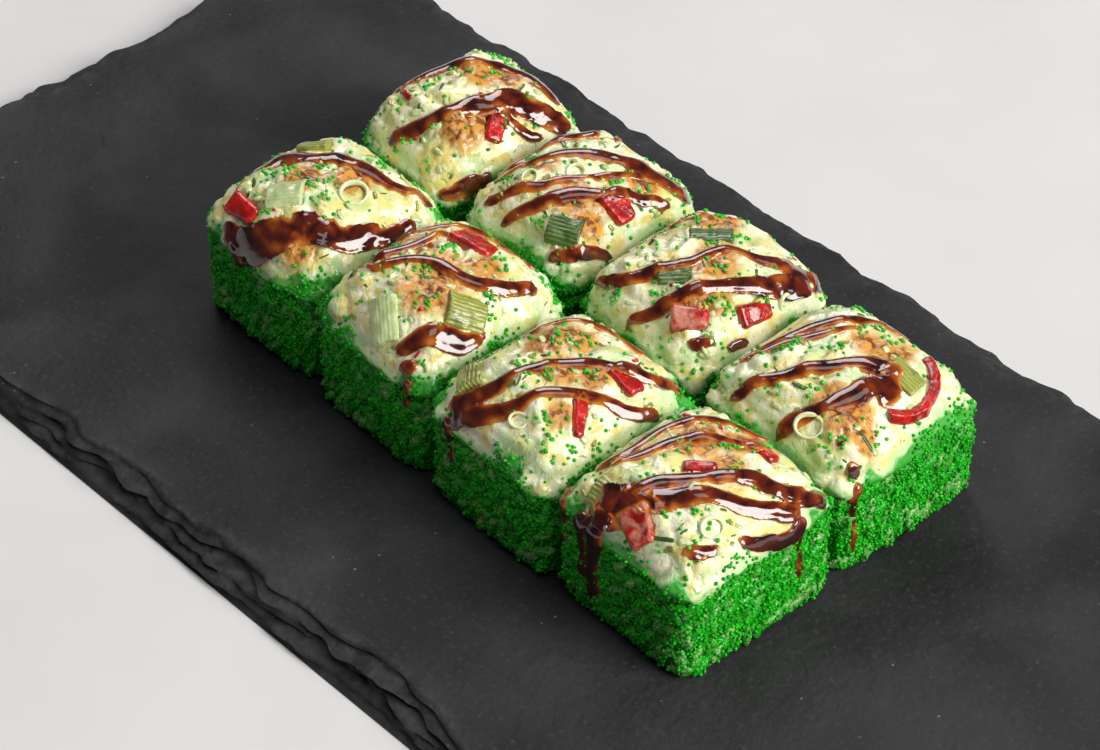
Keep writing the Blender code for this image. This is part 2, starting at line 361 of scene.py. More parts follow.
class Graph:
    """A material's node tree, with short calls for the few nodes that the finishes use."""

    def __init__(self, name: str) -> None:
        """Starts a material with one Principled shader.

        Args:
            name: The material's name.
        """
        self.material = bpy.data.materials.new(name)
        self.material.use_nodes = True
        self.tree = self.material.node_tree
        self.shader = self.tree.nodes["Principled BSDF"]
        self.place = self.node("ShaderNodeTexCoord").outputs["Object"]

    def node(self, kind: str, **settings: object) -> bpy.types.Node:
        """Adds a node and sets its properties.

        Args:
            kind: The node's type.
            **settings: Properties to set on it.

        Returns:
            The node.
        """
        made = self.tree.nodes.new(kind)
        for key, value in settings.items():
            setattr(made, key, value)
        return made

    def put(self, socket: bpy.types.NodeSocket, value: object) -> None:
        """Links a socket to another one, or sets its plain value.

        Args:
            socket: The input.
            value: Another socket, a number, or a colour or vector as a tuple.
        """
        if isinstance(value, bpy.types.NodeSocket):
            self.tree.links.new(value, socket)
        elif isinstance(value, tuple):
            socket.default_value = (*value, 1.0)[: len(socket.default_value)]
        else:
            socket.default_value = value

    def noise(self, cell: float, detail: float = 3.0, warp: float = 0.0) -> bpy.types.NodeSocket:
        """Noise from 0 to 1 whose blotches are about one cell wide.

        Args:
            cell: Width of a blotch, in metres.
            detail: How many finer layers there are.
            warp: How strongly it swirls.

        Returns:
            The noise.
        """
        made = self.node("ShaderNodeTexNoise")
        self.put(made.inputs["Vector"], self.place)
        made.inputs["Scale"].default_value = 1 / cell
        made.inputs["Detail"].default_value = detail
        made.inputs["Distortion"].default_value = warp
        return made.outputs["Fac"]

    def cells(self, cell: float) -> bpy.types.NodeSocket:
        """Distance to the nearest of points spread about one cell apart.

        Args:
            cell: Distance between the points, in metres.

        Returns:
            The distance, as a share of a cell.
        """
        made = self.node("ShaderNodeTexVoronoi")
        self.put(made.inputs["Vector"], self.place)
        made.inputs["Scale"].default_value = 1 / cell
        return made.outputs["Distance"]

    def attribute(self, name: str) -> bpy.types.NodeSocket:
        """A number stored on the mesh."""
        return self.node("ShaderNodeAttribute", attribute_name=name).outputs["Fac"]

    def step(self, value: bpy.types.NodeSocket, low: float, high: float) -> bpy.types.NodeSocket:
        """Rises smoothly from 0 where the value is low to 1 where it is high, or falls if low > high.

        Args:
            value: What is stepped.
            low: The value that gives 0.
            high: The value that gives 1.

        Returns:
            The step, from 0 to 1.
        """
        made = self.node("ShaderNodeMapRange", interpolation_type="SMOOTHSTEP")
        self.put(made.inputs["Value"], value)
        made.inputs["From Min"].default_value = min(low, high)
        made.inputs["From Max"].default_value = max(low, high)
        made.inputs["To Min"].default_value = 0.0 if low < high else 1.0
        made.inputs["To Max"].default_value = 1.0 if low < high else 0.0
        return made.outputs["Result"]

    def math(self, operation: str, a: object, b: object = 0.0) -> bpy.types.NodeSocket:
        """One sum of two numbers or sockets.

        Args:
            operation: The sum's name, such as ADD.
            a: The first number or socket.
            b: The second one.

        Returns:
            The result.
        """
        made = self.node("ShaderNodeMath", operation=operation)
        self.put(made.inputs[0], a)
        self.put(made.inputs[1], b)
        return made.outputs[0]

    def times(self, a: object, b: object) -> bpy.types.NodeSocket:
        """The product of two numbers or sockets."""
        return self.math("MULTIPLY", a, b)

    def layer(self, tone: object, share: object, strength: object, colour: object) -> bpy.types.NodeSocket:
        """Lays a colour over a tone, as strongly as the share times the strength."""
        return self.blend(self.times(share, strength), tone, colour)

    def blend(self, share: object, a: object, b: object) -> bpy.types.NodeSocket:
        """A colour between a and b.

        Args:
            share: How much of b there is, from 0 to 1.
            a: The first colour.
            b: The second colour.

        Returns:
            The blend.
        """
        made = self.node("ShaderNodeMix", data_type="RGBA")
        self.put(made.inputs["Factor"], share)
        self.put(made.inputs[6], a)
        self.put(made.inputs[7], b)
        return made.outputs[2]

    def ramp(self, value: object, stops: list[tuple[float, Colour]]) -> bpy.types.NodeSocket:
        """A colour read off a scale of stops.

        Args:
            value: Where on the scale.
            stops: The stops' positions and colours, in order.

        Returns:
            The colour.
        """
        made = self.node("ShaderNodeValToRGB")
        self.put(made.inputs["Fac"], value)
        scale = made.color_ramp.elements
        while len(scale) < len(stops):
            scale.new(0.5)
        for element, (position, colour) in zip(scale, stops):
            element.position = position
            element.color = (*colour, 1.0)
        return made.outputs["Color"]

    def relief(self, height: object, depth: float, under: object = None) -> bpy.types.NodeSocket:
        """A bumped normal, on top of another one if given.

        Args:
            height: The relief, from 0 to 1.
            depth: Its full height, in metres.
            under: A normal that it lies on top of.

        Returns:
            The normal.
        """
        made = self.node("ShaderNodeBump")
        made.inputs["Strength"].default_value = 1.0
        made.inputs["Distance"].default_value = depth
        self.put(made.inputs["Height"], height)
        if under is not None:
            self.put(made.inputs["Normal"], under)
        return made.outputs["Normal"]

    def set(self, **inputs: object) -> None:
        """Sets or links the shader's inputs: coat_weight means Coat Weight.

        Args:
            **inputs: The values or sockets, by the name of the input.
        """
        for key, value in inputs.items():
            words = " ".join(w.upper() if w == "ior" else w.capitalize() for w in key.split("_"))
            self.put(self.shader.inputs[words], value)


@dataclass(frozen=True)
class SlateFinish:
    """Split slate: near black, matt, with fine grain, faint cloudiness and pale mineral specks."""

    dark: Colour = (0.015, 0.015, 0.0155)
    pale: Colour = (0.034, 0.034, 0.035)
    broken: Colour = (0.060, 0.060, 0.062)
    speck: Colour = (0.22, 0.22, 0.23)

    def material(self) -> bpy.types.Material:
        """Builds the material.

        Returns:
            The material.
        """
        graph = Graph("slate")
        cloud = graph.step(graph.noise(0.034, 5.0, 0.4), 0.32, 0.70)
        grain = graph.noise(0.0011, 4.0)
        tone = graph.blend(cloud, self.dark, self.pale)
        tone = graph.layer(tone, graph.step(grain, 0.52, 0.80), 0.55, self.broken)
        ridge = graph.times(graph.attribute("ridge"), graph.step(graph.noise(0.0035), 0.38, 0.66))
        tone = graph.layer(tone, ridge, 0.55, self.broken)
        speck = graph.times(graph.step(graph.cells(0.0042), 0.075, 0.02),
                           graph.step(graph.noise(0.03), 0.45, 0.62))
        tone = graph.layer(tone, speck, 0.8, self.speck)
        normal = graph.relief(graph.noise(0.0016, 6.0), 0.00035)
        normal = graph.relief(graph.noise(0.011, 5.0, 0.8), 0.0007, normal)
        graph.set(base_color=tone, roughness=graph.math("ADD", 0.56, graph.times(grain, 0.26)))
        graph.set(specular_ior_level=0.15, normal=normal)
        return graph.material


@dataclass(frozen=True)
class RoeFinish:
    """Flying-fish roe dyed green: small glossy beads, deep green with brighter ones between, and pale specks
    painted on as glints.
    """

    deep: Colour = (0.002, 0.130, 0.003)
    bright: Colour = (0.014, 0.56, 0.006)
    # painted highlight: the pale yellow-green of glints of light on the beads
    lit: Colour = (0.16, 0.74, 0.05)

    def material(self, name: str) -> bpy.types.Material:
        """Builds the material under a name.

        Args:
            name: The material's name.

        Returns:
            The material.
        """
        graph = Graph(name)
        patch = graph.step(graph.noise(0.0034, 3.0, 0.5), 0.30, 0.66)
        bead = graph.step(graph.noise(0.0006, 1.0), 0.36, 0.66)
        tone = graph.blend(graph.times(graph.math("ADD", patch, bead), 0.5), self.deep, self.bright)
        # painted highlight: random pale specks stand in for glints of light on the beads
        tone = graph.blend(graph.step(graph.noise(0.0009, 2.0), 0.62, 0.78), tone, self.lit)
        graph.set(base_color=tone, roughness=0.15, specular_ior_level=0.32)
        graph.set(subsurface_weight=0.25, subsurface_radius=(0.0003, 0.0009, 0.0002), subsurface_scale=1.0)
        return graph.material


@dataclass(frozen=True)
class RiceFinish:
    """Cooked rice stained by the roe: green where the roe lies thick, pale and see-through between, with
    painted shade in the gaps between roe beads and in pits.
    """

    pale: Colour = (0.30, 0.56, 0.18)
    stained: Colour = (0.015, 0.48, 0.009)
    # dark green used as painted shade between the roe beads and in pits
    deep: Colour = (0.002, 0.10, 0.003)

    def material(self, name: str, stain: float) -> bpy.types.Material:
        """Builds the material.

        Args:
            name: The material's name.
            stain: How much of the rice the roe covers, from 0 to 1; it sets how strong the painted shade
                between beads and in pits is, and how deep the bead bumps are.

        Returns:
            The material.
        """
        graph = Graph(name)
        bare = graph.math("ADD", graph.attribute("bare"), graph.times(graph.noise(0.0022, 4.0, 0.6), 0.7))
        tone = graph.blend(graph.times(graph.step(bare, 0.62, 1.0), 0.88), self.stained, self.pale)
        bead = graph.cells(0.00058)
        # painted shade: darker green at the cell edges, in the gaps between roe beads
        painted_gap_shade = graph.times(graph.step(bead, 0.30, 0.62), 0.35 + 0.5 * stain)
        tone = graph.blend(painted_gap_shade, tone, self.deep)
        # painted shade: darker green blotches stand in for shade in small pits
        painted_pit_shade = graph.step(graph.noise(0.0016, 3.0), 0.52, 0.30)
        tone = graph.layer(tone, painted_pit_shade, 0.3 + 0.4 * stain, self.deep)
        normal = graph.relief(graph.times(bead, -1.0), 0.00010 + 0.00028 * stain)
        normal = graph.relief(graph.noise(0.0010, 3.0), 0.00020, normal)
        graph.set(base_color=tone, roughness=0.24, specular_ior_level=0.45, normal=normal)
        graph.set(subsurface_weight=0.25, subsurface_radius=(0.0006, 0.0015, 0.0004), subsurface_scale=1.0)
        return graph.material


@dataclass(frozen=True)
class CreamFinish:
    """Baked cream: ivory, butter yellow where thick, stained green at its foot, browned on top."""

    ivory: Colour = (0.88, 0.86, 0.60)
    butter: Colour = (0.76, 0.64, 0.21)
    mint: Colour = (0.45, 0.68, 0.31)
    stain: Colour = (0.02, 0.34, 0.02)
    herb: Colour = (0.12, 0.34, 0.05)
    gold: Colour = (0.60, 0.25, 0.026)
    scorch: Colour = (0.15, 0.038, 0.007)

    def material(self) -> bpy.types.Material:
        """Builds the material.

        Returns:
            The material.
        """
        graph = Graph("baked_cream")
        blotch = graph.noise(0.0040, 3.0, 0.8)
        tone = graph.blend(graph.step(blotch, 0.42, 0.62), self.ivory, self.butter)
        haze = graph.step(graph.noise(0.0065, 4.0, 0.5), 0.46, 0.64)
        tone = graph.layer(tone, haze, 0.62, self.mint)
        foot = graph.math("ADD", graph.attribute("foot"), graph.times(graph.noise(0.0030, 4.0), 0.7))
        tone = graph.layer(tone, graph.step(foot, 0.60, 0.95), 0.8, self.mint)
        tone = graph.layer(tone, graph.step(foot, 1.02, 1.24), 0.95, self.stain)
        fleck = graph.step(graph.noise(0.0013, 2.0), 0.64, 0.70)
        tone = graph.layer(tone, fleck, 0.72, self.herb)
        heat = graph.times(graph.attribute("browned"),
                          graph.math("ADD", 0.45, graph.noise(0.0024, 5.0, 0.9)))
        tone = graph.layer(tone, graph.step(heat, 0.16, 0.70), 0.92, self.gold)
        spots = graph.times(heat, graph.step(graph.noise(0.0017, 5.0, 0.4), 0.34, 0.66))
        tone = graph.layer(tone, graph.step(spots, 0.26, 0.86), 0.9, self.scorch)
        speck = graph.times(graph.step(graph.cells(0.0028), 0.085, 0.045), graph.step(blotch, 0.46, 0.55))
        tone = graph.layer(tone, speck, 0.85, self.scorch)
        normal = graph.relief(graph.noise(0.0010, 4.0), 0.00013)
        normal = graph.relief(graph.noise(0.0026, 3.0, 1.2), 0.00042, normal)
        graph.set(base_color=tone, roughness=graph.math("ADD", 0.16, graph.times(blotch, 0.26)))
        graph.set(subsurface_weight=0.18, subsurface_radius=(0.0018, 0.0014, 0.0007), subsurface_scale=1.0)
        graph.set(coat_weight=0.35, coat_roughness=0.10, normal=normal)
        return graph.material


@dataclass(frozen=True)
class PepperFinish:
    """Sweet pepper: wet scarlet flesh, with a paler, grainy cut side."""

    flesh: Colour = (0.56, 0.010, 0.006)
    dark: Colour = (0.25, 0.004, 0.003)
    pulp: Colour = (0.60, 0.30, 0.24)

    def material(self, name: str, pulp_share: float) -> bpy.types.Material:
        """Builds the material.

        Args:
            name: The material's name.
            pulp_share: How much pale pulp shows, from 0 to 1.

        Returns:
            The material.
        """
        graph = Graph(name)
        tone = graph.blend(graph.step(graph.noise(0.0024, 3.0), 0.35, 0.65), self.dark, self.flesh)
        pulp = graph.step(graph.noise(0.0030, 4.0, 0.5), 0.78 - 0.45 * pulp_share, 0.86 - 0.30 * pulp_share)
        tone = graph.layer(tone, pulp, 0.85, self.pulp)
        normal = graph.relief(graph.noise(0.0007, 4.0), 0.00022)
        graph.set(base_color=tone, roughness=0.20, coat_weight=0.5, coat_roughness=0.08, normal=normal)
        graph.set(subsurface_weight=0.12, subsurface_radius=(0.0016, 0.0004, 0.0003), subsurface_scale=1.0)
        return graph.material


@dataclass(frozen=True)
class OnionFinish:
    """Green onion: ribbed along the stalk, from pale yellow-green to dark leaf green."""

    name: str
    rib: Colour
    groove: Colour
    ribbing: float = 0.5

    def material(self) -> bpy.types.Material:
        """Builds the material.

        Returns:
            The material.
        """
        graph = Graph(self.name)
        across = graph.math("SINE", graph.times(graph.attribute("rib"), math.tau))
        drift = graph.times(graph.noise(0.0018, 4.0, 0.6), 4.4)
        line = graph.step(graph.math("ADD", across, drift), 1.0, 3.4)
        ribbed = graph.math("ADD", 1 - self.ribbing, graph.times(line, self.ribbing))
        tone = graph.blend(ribbed, self.groove, self.rib)
        tone = graph.layer(tone, graph.step(graph.noise(0.0036, 3.0), 0.48, 0.70), 0.6, self.groove)
        graph.set(base_color=tone, roughness=0.24, coat_weight=0.45, coat_roughness=0.10)
        graph.set(normal=graph.relief(line, 0.00024 * self.ribbing))
        graph.set(subsurface_weight=0.2, subsurface_radius=(0.0009, 0.0014, 0.0005), subsurface_scale=1.0)
        return graph.material


ONIONS = (
    OnionFinish("ring_onion", (0.74, 0.76, 0.46), (0.44, 0.50, 0.12), 0.2),
    OnionFinish("pale_onion", (0.56, 0.64, 0.32), (0.32, 0.42, 0.14), 0.14),
    OnionFinish("olive_onion", (0.36, 0.38, 0.08), (0.11, 0.14, 0.02), 0.45),
    OnionFinish("dark_onion", (0.085, 0.15, 0.02), (0.020, 0.055, 0.008), 0.5),
)
# the third colour is the painted highlight of the glints on the stray roe
STRAY_ROE = RoeFinish((0.010, 0.27, 0.008), (0.045, 0.55, 0.03), (0.22, 0.78, 0.10))


@dataclass(frozen=True)
class SauceFinish:
    """Thick soy glaze: amber where it runs out thin, red-brown, then nearly black where deep."""

    film: Colour = (0.50, 0.19, 0.022)
    thin: Colour = (0.33, 0.072, 0.008)
    middle: Colour = (0.115, 0.013, 0.003)
    deep: Colour = (0.026, 0.003, 0.002)

    def material(self) -> bpy.types.Material:
        """Builds the material.

        Returns:
            The material.
        """
        graph = Graph("soy_glaze")
        depth = graph.math("ADD", graph.attribute("depth"), graph.times(graph.noise(0.005, 2.0), 0.07))
        shades = [(0.14, self.film), (0.36, self.thin), (0.64, self.middle), (0.95, self.deep)]
        tone = graph.ramp(depth, shades)
        graph.set(base_color=tone, roughness=0.12, specular_ior_level=0.35)
        graph.set(coat_weight=1.0, coat_roughness=0.035, coat_ior=1.45)
        graph.set(subsurface_weight=0.08, subsurface_radius=(0.0012, 0.0004, 0.0002), subsurface_scale=1.0)
        graph.set(normal=graph.relief(graph.noise(0.0030, 2.0), 0.00012))
        return graph.material


# ---------------------------------------------------------------------------------------------
# Rolls
# ---------------------------------------------------------------------------------------------


@dataclass
class RollShape:
    """Where one roll stands and how big it is, read off its CAD solids.

    The roll's own axes have x along the board's long side and y across it.
    """

    name: str
    squareness: float
    turn_deg: float
    rim: float = 1.3 * MM
    crown_squareness: float = 4.0
    crown_fall: float = 2.3
    centre: np.ndarray = field(init=False)
    half_length: float = field(init=False)
    half_width: float = field(init=False)
    base: float = field(init=False)
    rice_top: float = field(init=False)
    crown_top: float = field(init=False)

    def __post_init__(self) -> None:
        """Reads the roll's place and sizes from its CAD solids in model.glb."""
        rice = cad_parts[f"roll_{self.name}_rice"]
        low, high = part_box(rice.name)
        self.centre = np.array([(low.x + high.x) / 2, (low.y + high.y) / 2])
        self.base, self.rice_top = low.z, high.z
        self.crown_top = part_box(f"roll_{self.name}_topping")[1].z
        own = self.to_own(points_of(rice))
        middle = (own[:, :2].max(0) + own[:, :2].min(0)) / 2
        self.centre = self.to_world(np.array([[*middle, 0.0]]))[0, :2]
        self.half_length, self.half_width = (own[:, :2].max(0) - own[:, :2].min(0)) / 2

    @property
    def rotation(self) -> np.ndarray:
        """The matrix that turns the roll's own x, y into the board's."""
        angle = math.radians(self.turn_deg)
        return np.array([[math.cos(angle), -math.sin(angle)], [math.sin(angle), math.cos(angle)]])

    def to_world(self, points: np.ndarray) -> np.ndarray:
        """Moves points from the roll's own axes to the board's; z stays."""
        return np.column_stack([points[:, :2] @ self.rotation.T + self.centre, points[:, 2]])

    def to_own(self, points: np.ndarray) -> np.ndarray:
        """Moves points from the board's axes to the roll's own; z stays."""
        return np.column_stack([(points[:, :2] - self.centre) @ self.rotation, points[:, 2]])

    def outline(self, angles: np.ndarray, squareness: np.ndarray | float) -> np.ndarray:
        """Points of the rounded rectangle that the roll fills, seen from above.

        Args:
            angles: Where on the outline, in radians.
            squareness: 2 for an ellipse, and more for squarer corners.

        Returns:
            One row of x, y a point, in the roll's own axes.
        """
        cosine, sine = np.cos(angles), np.sin(angles)
        power = 2 / squareness
        return np.column_stack(
            [
                np.sign(cosine) * np.abs(cosine) ** power * self.half_length,
                np.sign(sine) * np.abs(sine) ** power * self.half_width,
            ]
        )

    def walk(self, shares: np.ndarray) -> tuple[np.ndarray, np.ndarray]:
        """Points spread evenly along the outline.

        Args:
            shares: How far round, from 0 to 1.

        Returns:
            The points and their outward normals, as rows of x, y in the roll's own axes.
        """
        angles = np.linspace(0, math.tau, 721)
        points = self.outline(angles, self.squareness)
        steps = np.linalg.norm(np.diff(points, axis=0), axis=1)
        walked = np.concatenate([[0.0], np.cumsum(steps)])
        walked /= walked[-1]
        x = np.interp(shares, walked, points[:, 0])
        y = np.interp(shares, walked, points[:, 1])
        normals = np.column_stack(
            [
                np.sign(x) * (np.abs(x) / self.half_length) ** (self.squareness - 1) / self.half_length,
                np.sign(y) * (np.abs(y) / self.half_width) ** (self.squareness - 1) / self.half_width,
            ]
        )
        return np.column_stack([x, y]), normals / np.linalg.norm(normals, axis=1, keepdims=True)

    def crown(self, x: np.ndarray, y: np.ndarray) -> np.ndarray:
        """Height of the smooth dome above the rice, at places in the roll's own axes.

        Args:
            x: Places along the roll.
            y: Places across it.

        Returns:
            The heights.
        """
        power = self.crown_squareness
        reach = (np.abs(x / self.half_length) ** power + np.abs(y / self.half_width) ** power) ** (1 / power)
        full = self.crown_top - self.rice_top - self.rim
        return self.rim + full * np.sqrt(1 - np.minimum(reach, 1.0) ** self.crown_fall)

    def edge_line(self, own: np.ndarray, seed: float) -> np.ndarray:
        """Where cream and green meet round the roll, as heights above the rice, in metres.

        Args:
            own: Places in the roll's own axes; only their direction from the middle counts.
            seed: The roll's own number.

        Returns:
            A height a place: below 0 the cream hangs over the rice, above 0 the green climbs.
        """
        power = self.squareness
        reach = np.abs(own[:, 0] / self.half_length) ** power + np.abs(own[:, 1] / self.half_width) ** power
        rim = own[:, :2] / (reach[:, None] ** (1 / power) + 1e-9)
        rim = np.column_stack([rim, np.zeros(len(rim))])
        swing = 1.9 * bumps(rim, 10 * MM, seed) + 0.8 * bumps(rim, 3.4 * MM, seed + 0.5)
        return np.clip(0.36 + swing, -0.85, 1.15) * 4.2 * MM

    def drop(
        self, own: np.ndarray, ground: BVHTree, least_rise: float = -2.0
    ) -> tuple[np.ndarray, np.ndarray]:
        """Drops places straight down onto the roll and leaves out the ones that miss it.

        Args:
            own: Rows of x, y in the roll's own axes.
            ground: The surface that they land on.
            least_rise: The least z of a surface normal that a place keeps its hold on.

        Returns:
            The places that landed, and the normals there.
        """
        spots, tilts = [], []
        level = np.full(len(own), self.crown_top + DROP_START)
        for place in self.to_world(np.column_stack([own, level])):
            hit, facing, _, _ = ground.ray_cast(Vector(place), DOWN, DROP_REACH)
            if hit is not None and facing.z > least_rise:
                spots.append(hit[:])
                tilts.append(facing[:])
        return np.array(spots), np.array(tilts)

    def holds(self, points: np.ndarray, margin: float) -> np.ndarray:
        """Says which points are over this roll's footprint, grown by a margin.

        Args:
            points: The points, in the board's axes.
            margin: How far the footprint is grown.

        Returns:
            True or false for each point.
        """
        own = self.to_own(points)
        inside_length = np.abs(own[:, 0]) < self.half_length + margin
        return inside_length & (np.abs(own[:, 1]) < self.half_width + margin)


@dataclass
class RiceBlock:
    """The rice of one roll: a core, grains bedded in its sides, and roe all over them."""

    shape: RollShape
    neighbours: list[RollShape]
    seed: int
    bare_side: float = 0.5
    inset: float = 0.42 * MM
    shoulder: float = 1.2 * MM
    around: int = 176
    levels: int = 40
    grain_half: tuple[float, float, float] = (2.5 * MM, 1.08 * MM, 0.85 * MM)
    grain_gap: float = 2.75 * MM
    roe_radius: tuple[float, float] = (0.29 * MM, 0.47 * MM)
    roe_gap: float = 0.90 * MM
    hidden_depth: float = 7 * MM
    highest: float = 6.4 * MM

    def core(self) -> bpy.types.Object:
        """Builds the lumpy block under the grains.

        Returns:
            The core.
        """
        shape = self.shape
        angles = np.linspace(0, math.tau, self.around, endpoint=False)
        full = shape.rice_top + self.shoulder - shape.base
        rings = []
        for height in np.linspace(0, 1, self.levels):
            belly = 0.988 + 0.012 * math.sin(math.pi * min(1.0, 0.16 + 0.84 * height)) ** 0.6
            rounding = max(0.0, height * full - full + 2.6 * self.shoulder) / (2.6 * self.shoulder)
            ring = shape.outline(angles, shape.squareness) * (belly - 0.085 * rounding**2.4)
            ring *= 1 - self.inset / shape.half_length
            rings.append(np.column_stack([ring, np.full(self.around, shape.base + height * full)]))
        points = shape.to_world(np.concatenate(rings))
        thing = solid_object(f"{shape.name}_rice_core", points, closed_rings(self.levels, self.around))
        rest = points_of(thing)
        lumps = 0.52 * MM * bumps(rest, 3.6 * MM, self.seed)
        lumps += 0.26 * MM * bumps(rest, 1.2 * MM, self.seed + 1)
        outward = normals_of(thing)
        outward[rest[:, 2] < shape.base + 0.1 * MM] = 0
        move_points(thing, rest + outward * lumps[:, None])
        return thing

    def side_places(self, gap: float, low: float, high: float, seed: int) -> tuple[np.ndarray, ...]:
        """Spreads places over the sides, skipping the ones that neighbouring rolls hide.

        Args:
            gap: Distance between places.
            low: Lowest height.
            high: Highest height.
            seed: Seed of the jitter.

        Returns:
            Places just outside the side, and outward normals, both in the board's axes.
        """
        rng = np.random.default_rng(seed)
        shape = self.shape
        girth = 4 * (shape.half_length + shape.half_width) * 0.95
        columns, rows = round(girth / gap), max(1, round((high - low) / gap))
        across, up = np.meshgrid(np.arange(columns), np.arange(rows))
        shift = 0.5 * (up % 2)
        shares = (across + shift + rng.uniform(-0.36, 0.36, across.shape)) / columns
        level = low + (up + 0.5 + rng.uniform(-0.36, 0.36, across.shape)) * (high - low) / rows
        flat, normals = shape.walk(shares.ravel() % 1.0)
        places = shape.to_world(np.column_stack([flat + normals * OFF_SIDE_MM * MM, level.ravel()]))
        outward = np.column_stack([normals @ shape.rotation.T, np.zeros(len(normals))])
        hidden = np.zeros(len(places), bool)
        for other in self.neighbours:
            hidden |= other.holds(places, 0.5 * MM)
        keep = ~hidden | (places[:, 2] > shape.rice_top - self.hidden_depth)
        return places[keep], outward[keep]

    def grains(self) -> bpy.types.Object:
        """Beds rice grains in the sides, each lying flat at its own slant.

        Returns:
            The joined grains.
        """
        rng = np.random.default_rng(self.seed + 10)
        shape = self.shape
        places, outward = self.side_places(
            self.grain_gap, shape.base + 0.9 * MM, shape.rice_top - 0.4 * MM, self.seed + 11
        )
        count = len(places)
        low_down = 1 - np.clip((places[:, 2] - shape.base) / (8 * MM), 0, 1)
        sizes = np.array(self.grain_half) * rng.uniform(0.85, 1.12, (count, 3))
        sunk = 0.22 + rng.uniform(-0.24, 0.20, count) - 0.34 * low_down
        bedded = outward * (OFF_SIDE_MM * MM + self.inset + (sunk[:, None] + 0.12) * MM)
        slant = rng.normal(0.9, 0.45, count)
        frames = frames_along(outward, slant)
        points, faces = primitive_arrays("create_uvsphere", u_segments=10, v_segments=8, radius=1.0)
        points = points[:, [2, 0, 1]]
        points[:, 1:] *= 1 - 0.22 * points[:, :1] ** 2 + 0.06 * points[:, :1]
        grains = scatter(f"{shape.name}_rice_grains", (points, faces), places - bedded, frames, sizes)
        bare = np.clip(rng.normal(0.25, 0.30, count) + 0.35 * low_down, 0, 1)
        mark(grains, "bare", np.repeat(bare, len(points)))
        return grains

    def roe(self, ground: BVHTree) -> bpy.types.Object:
        """Coats the sides with roe, which thins out as it climbs the foot of the topping.

        Args:
            ground: The surface that the roe sticks to.

        Returns:
            The joined beads.
        """
        rng = np.random.default_rng(self.seed + 20)
        shape = self.shape
        places, outward = self.side_places(
            self.roe_gap, shape.base + 0.2 * MM, shape.rice_top + self.highest, self.seed + 21
        )
        line = shape.rice_top + shape.edge_line(shape.to_own(places), self.seed)
        above = (places[:, 2] - line) / MM
        patch = bumps(places, 3.2 * MM, self.seed + 5)
        low_down = np.clip((places[:, 2] - shape.base) / (9 * MM), 0, 1)
        bare = np.clip(0.30 + 2.2 * patch + 0.5 * (1 - low_down), 0, 1) * self.bare_side
        share = np.clip(0.80 - 0.30 * above, 0.05, 0.86) - np.where(above < 0, bare, 0.25 * bare)
        chosen = rng.random(len(places)) < share
        spots, tilts = [], []
        for place, normal in zip(places[chosen], outward[chosen]):
            hit, facing, _, _ = ground.ray_cast(Vector(place), Vector(-normal), 12 * MM)
            if hit is not None:
                spots.append(hit[:])
                tilts.append(facing[:])
        return self.beads(f"{shape.name}_roe", np.array(spots), np.array(tilts), rng)

    def beads(
        self, name: str, spots: np.ndarray, tilts: np.ndarray, rng: np.random.Generator, swell: float = 1.0
    ) -> bpy.types.Object:
        """Joins beads of roe that sit a little sunk at the spots.

        Args:
            name: The piece's name.
            spots: Where the surface is.
            tilts: The surface's normals.
            rng: Source of the sizes.
            swell: Makes the beads that much bigger.

        Returns:
            The joined beads.
        """
        radius = rng.uniform(*self.roe_radius, (len(spots), 1)) * swell
        sizes = radius * rng.uniform(0.88, 1.08, (len(spots), 3))
        frames = frames_along(tilts, rng.uniform(0, math.tau, len(spots)))
        bead = primitive_arrays("create_icosphere", subdivisions=1, radius=1.0)
        return scatter(name, bead, spots + tilts * radius * 0.35, frames, sizes)


@dataclass(frozen=True)
class Spot:
    """A browned patch on a topping: its place from the roll's middle and its reach, in mm."""

    x: float
    y: float
    reach: float


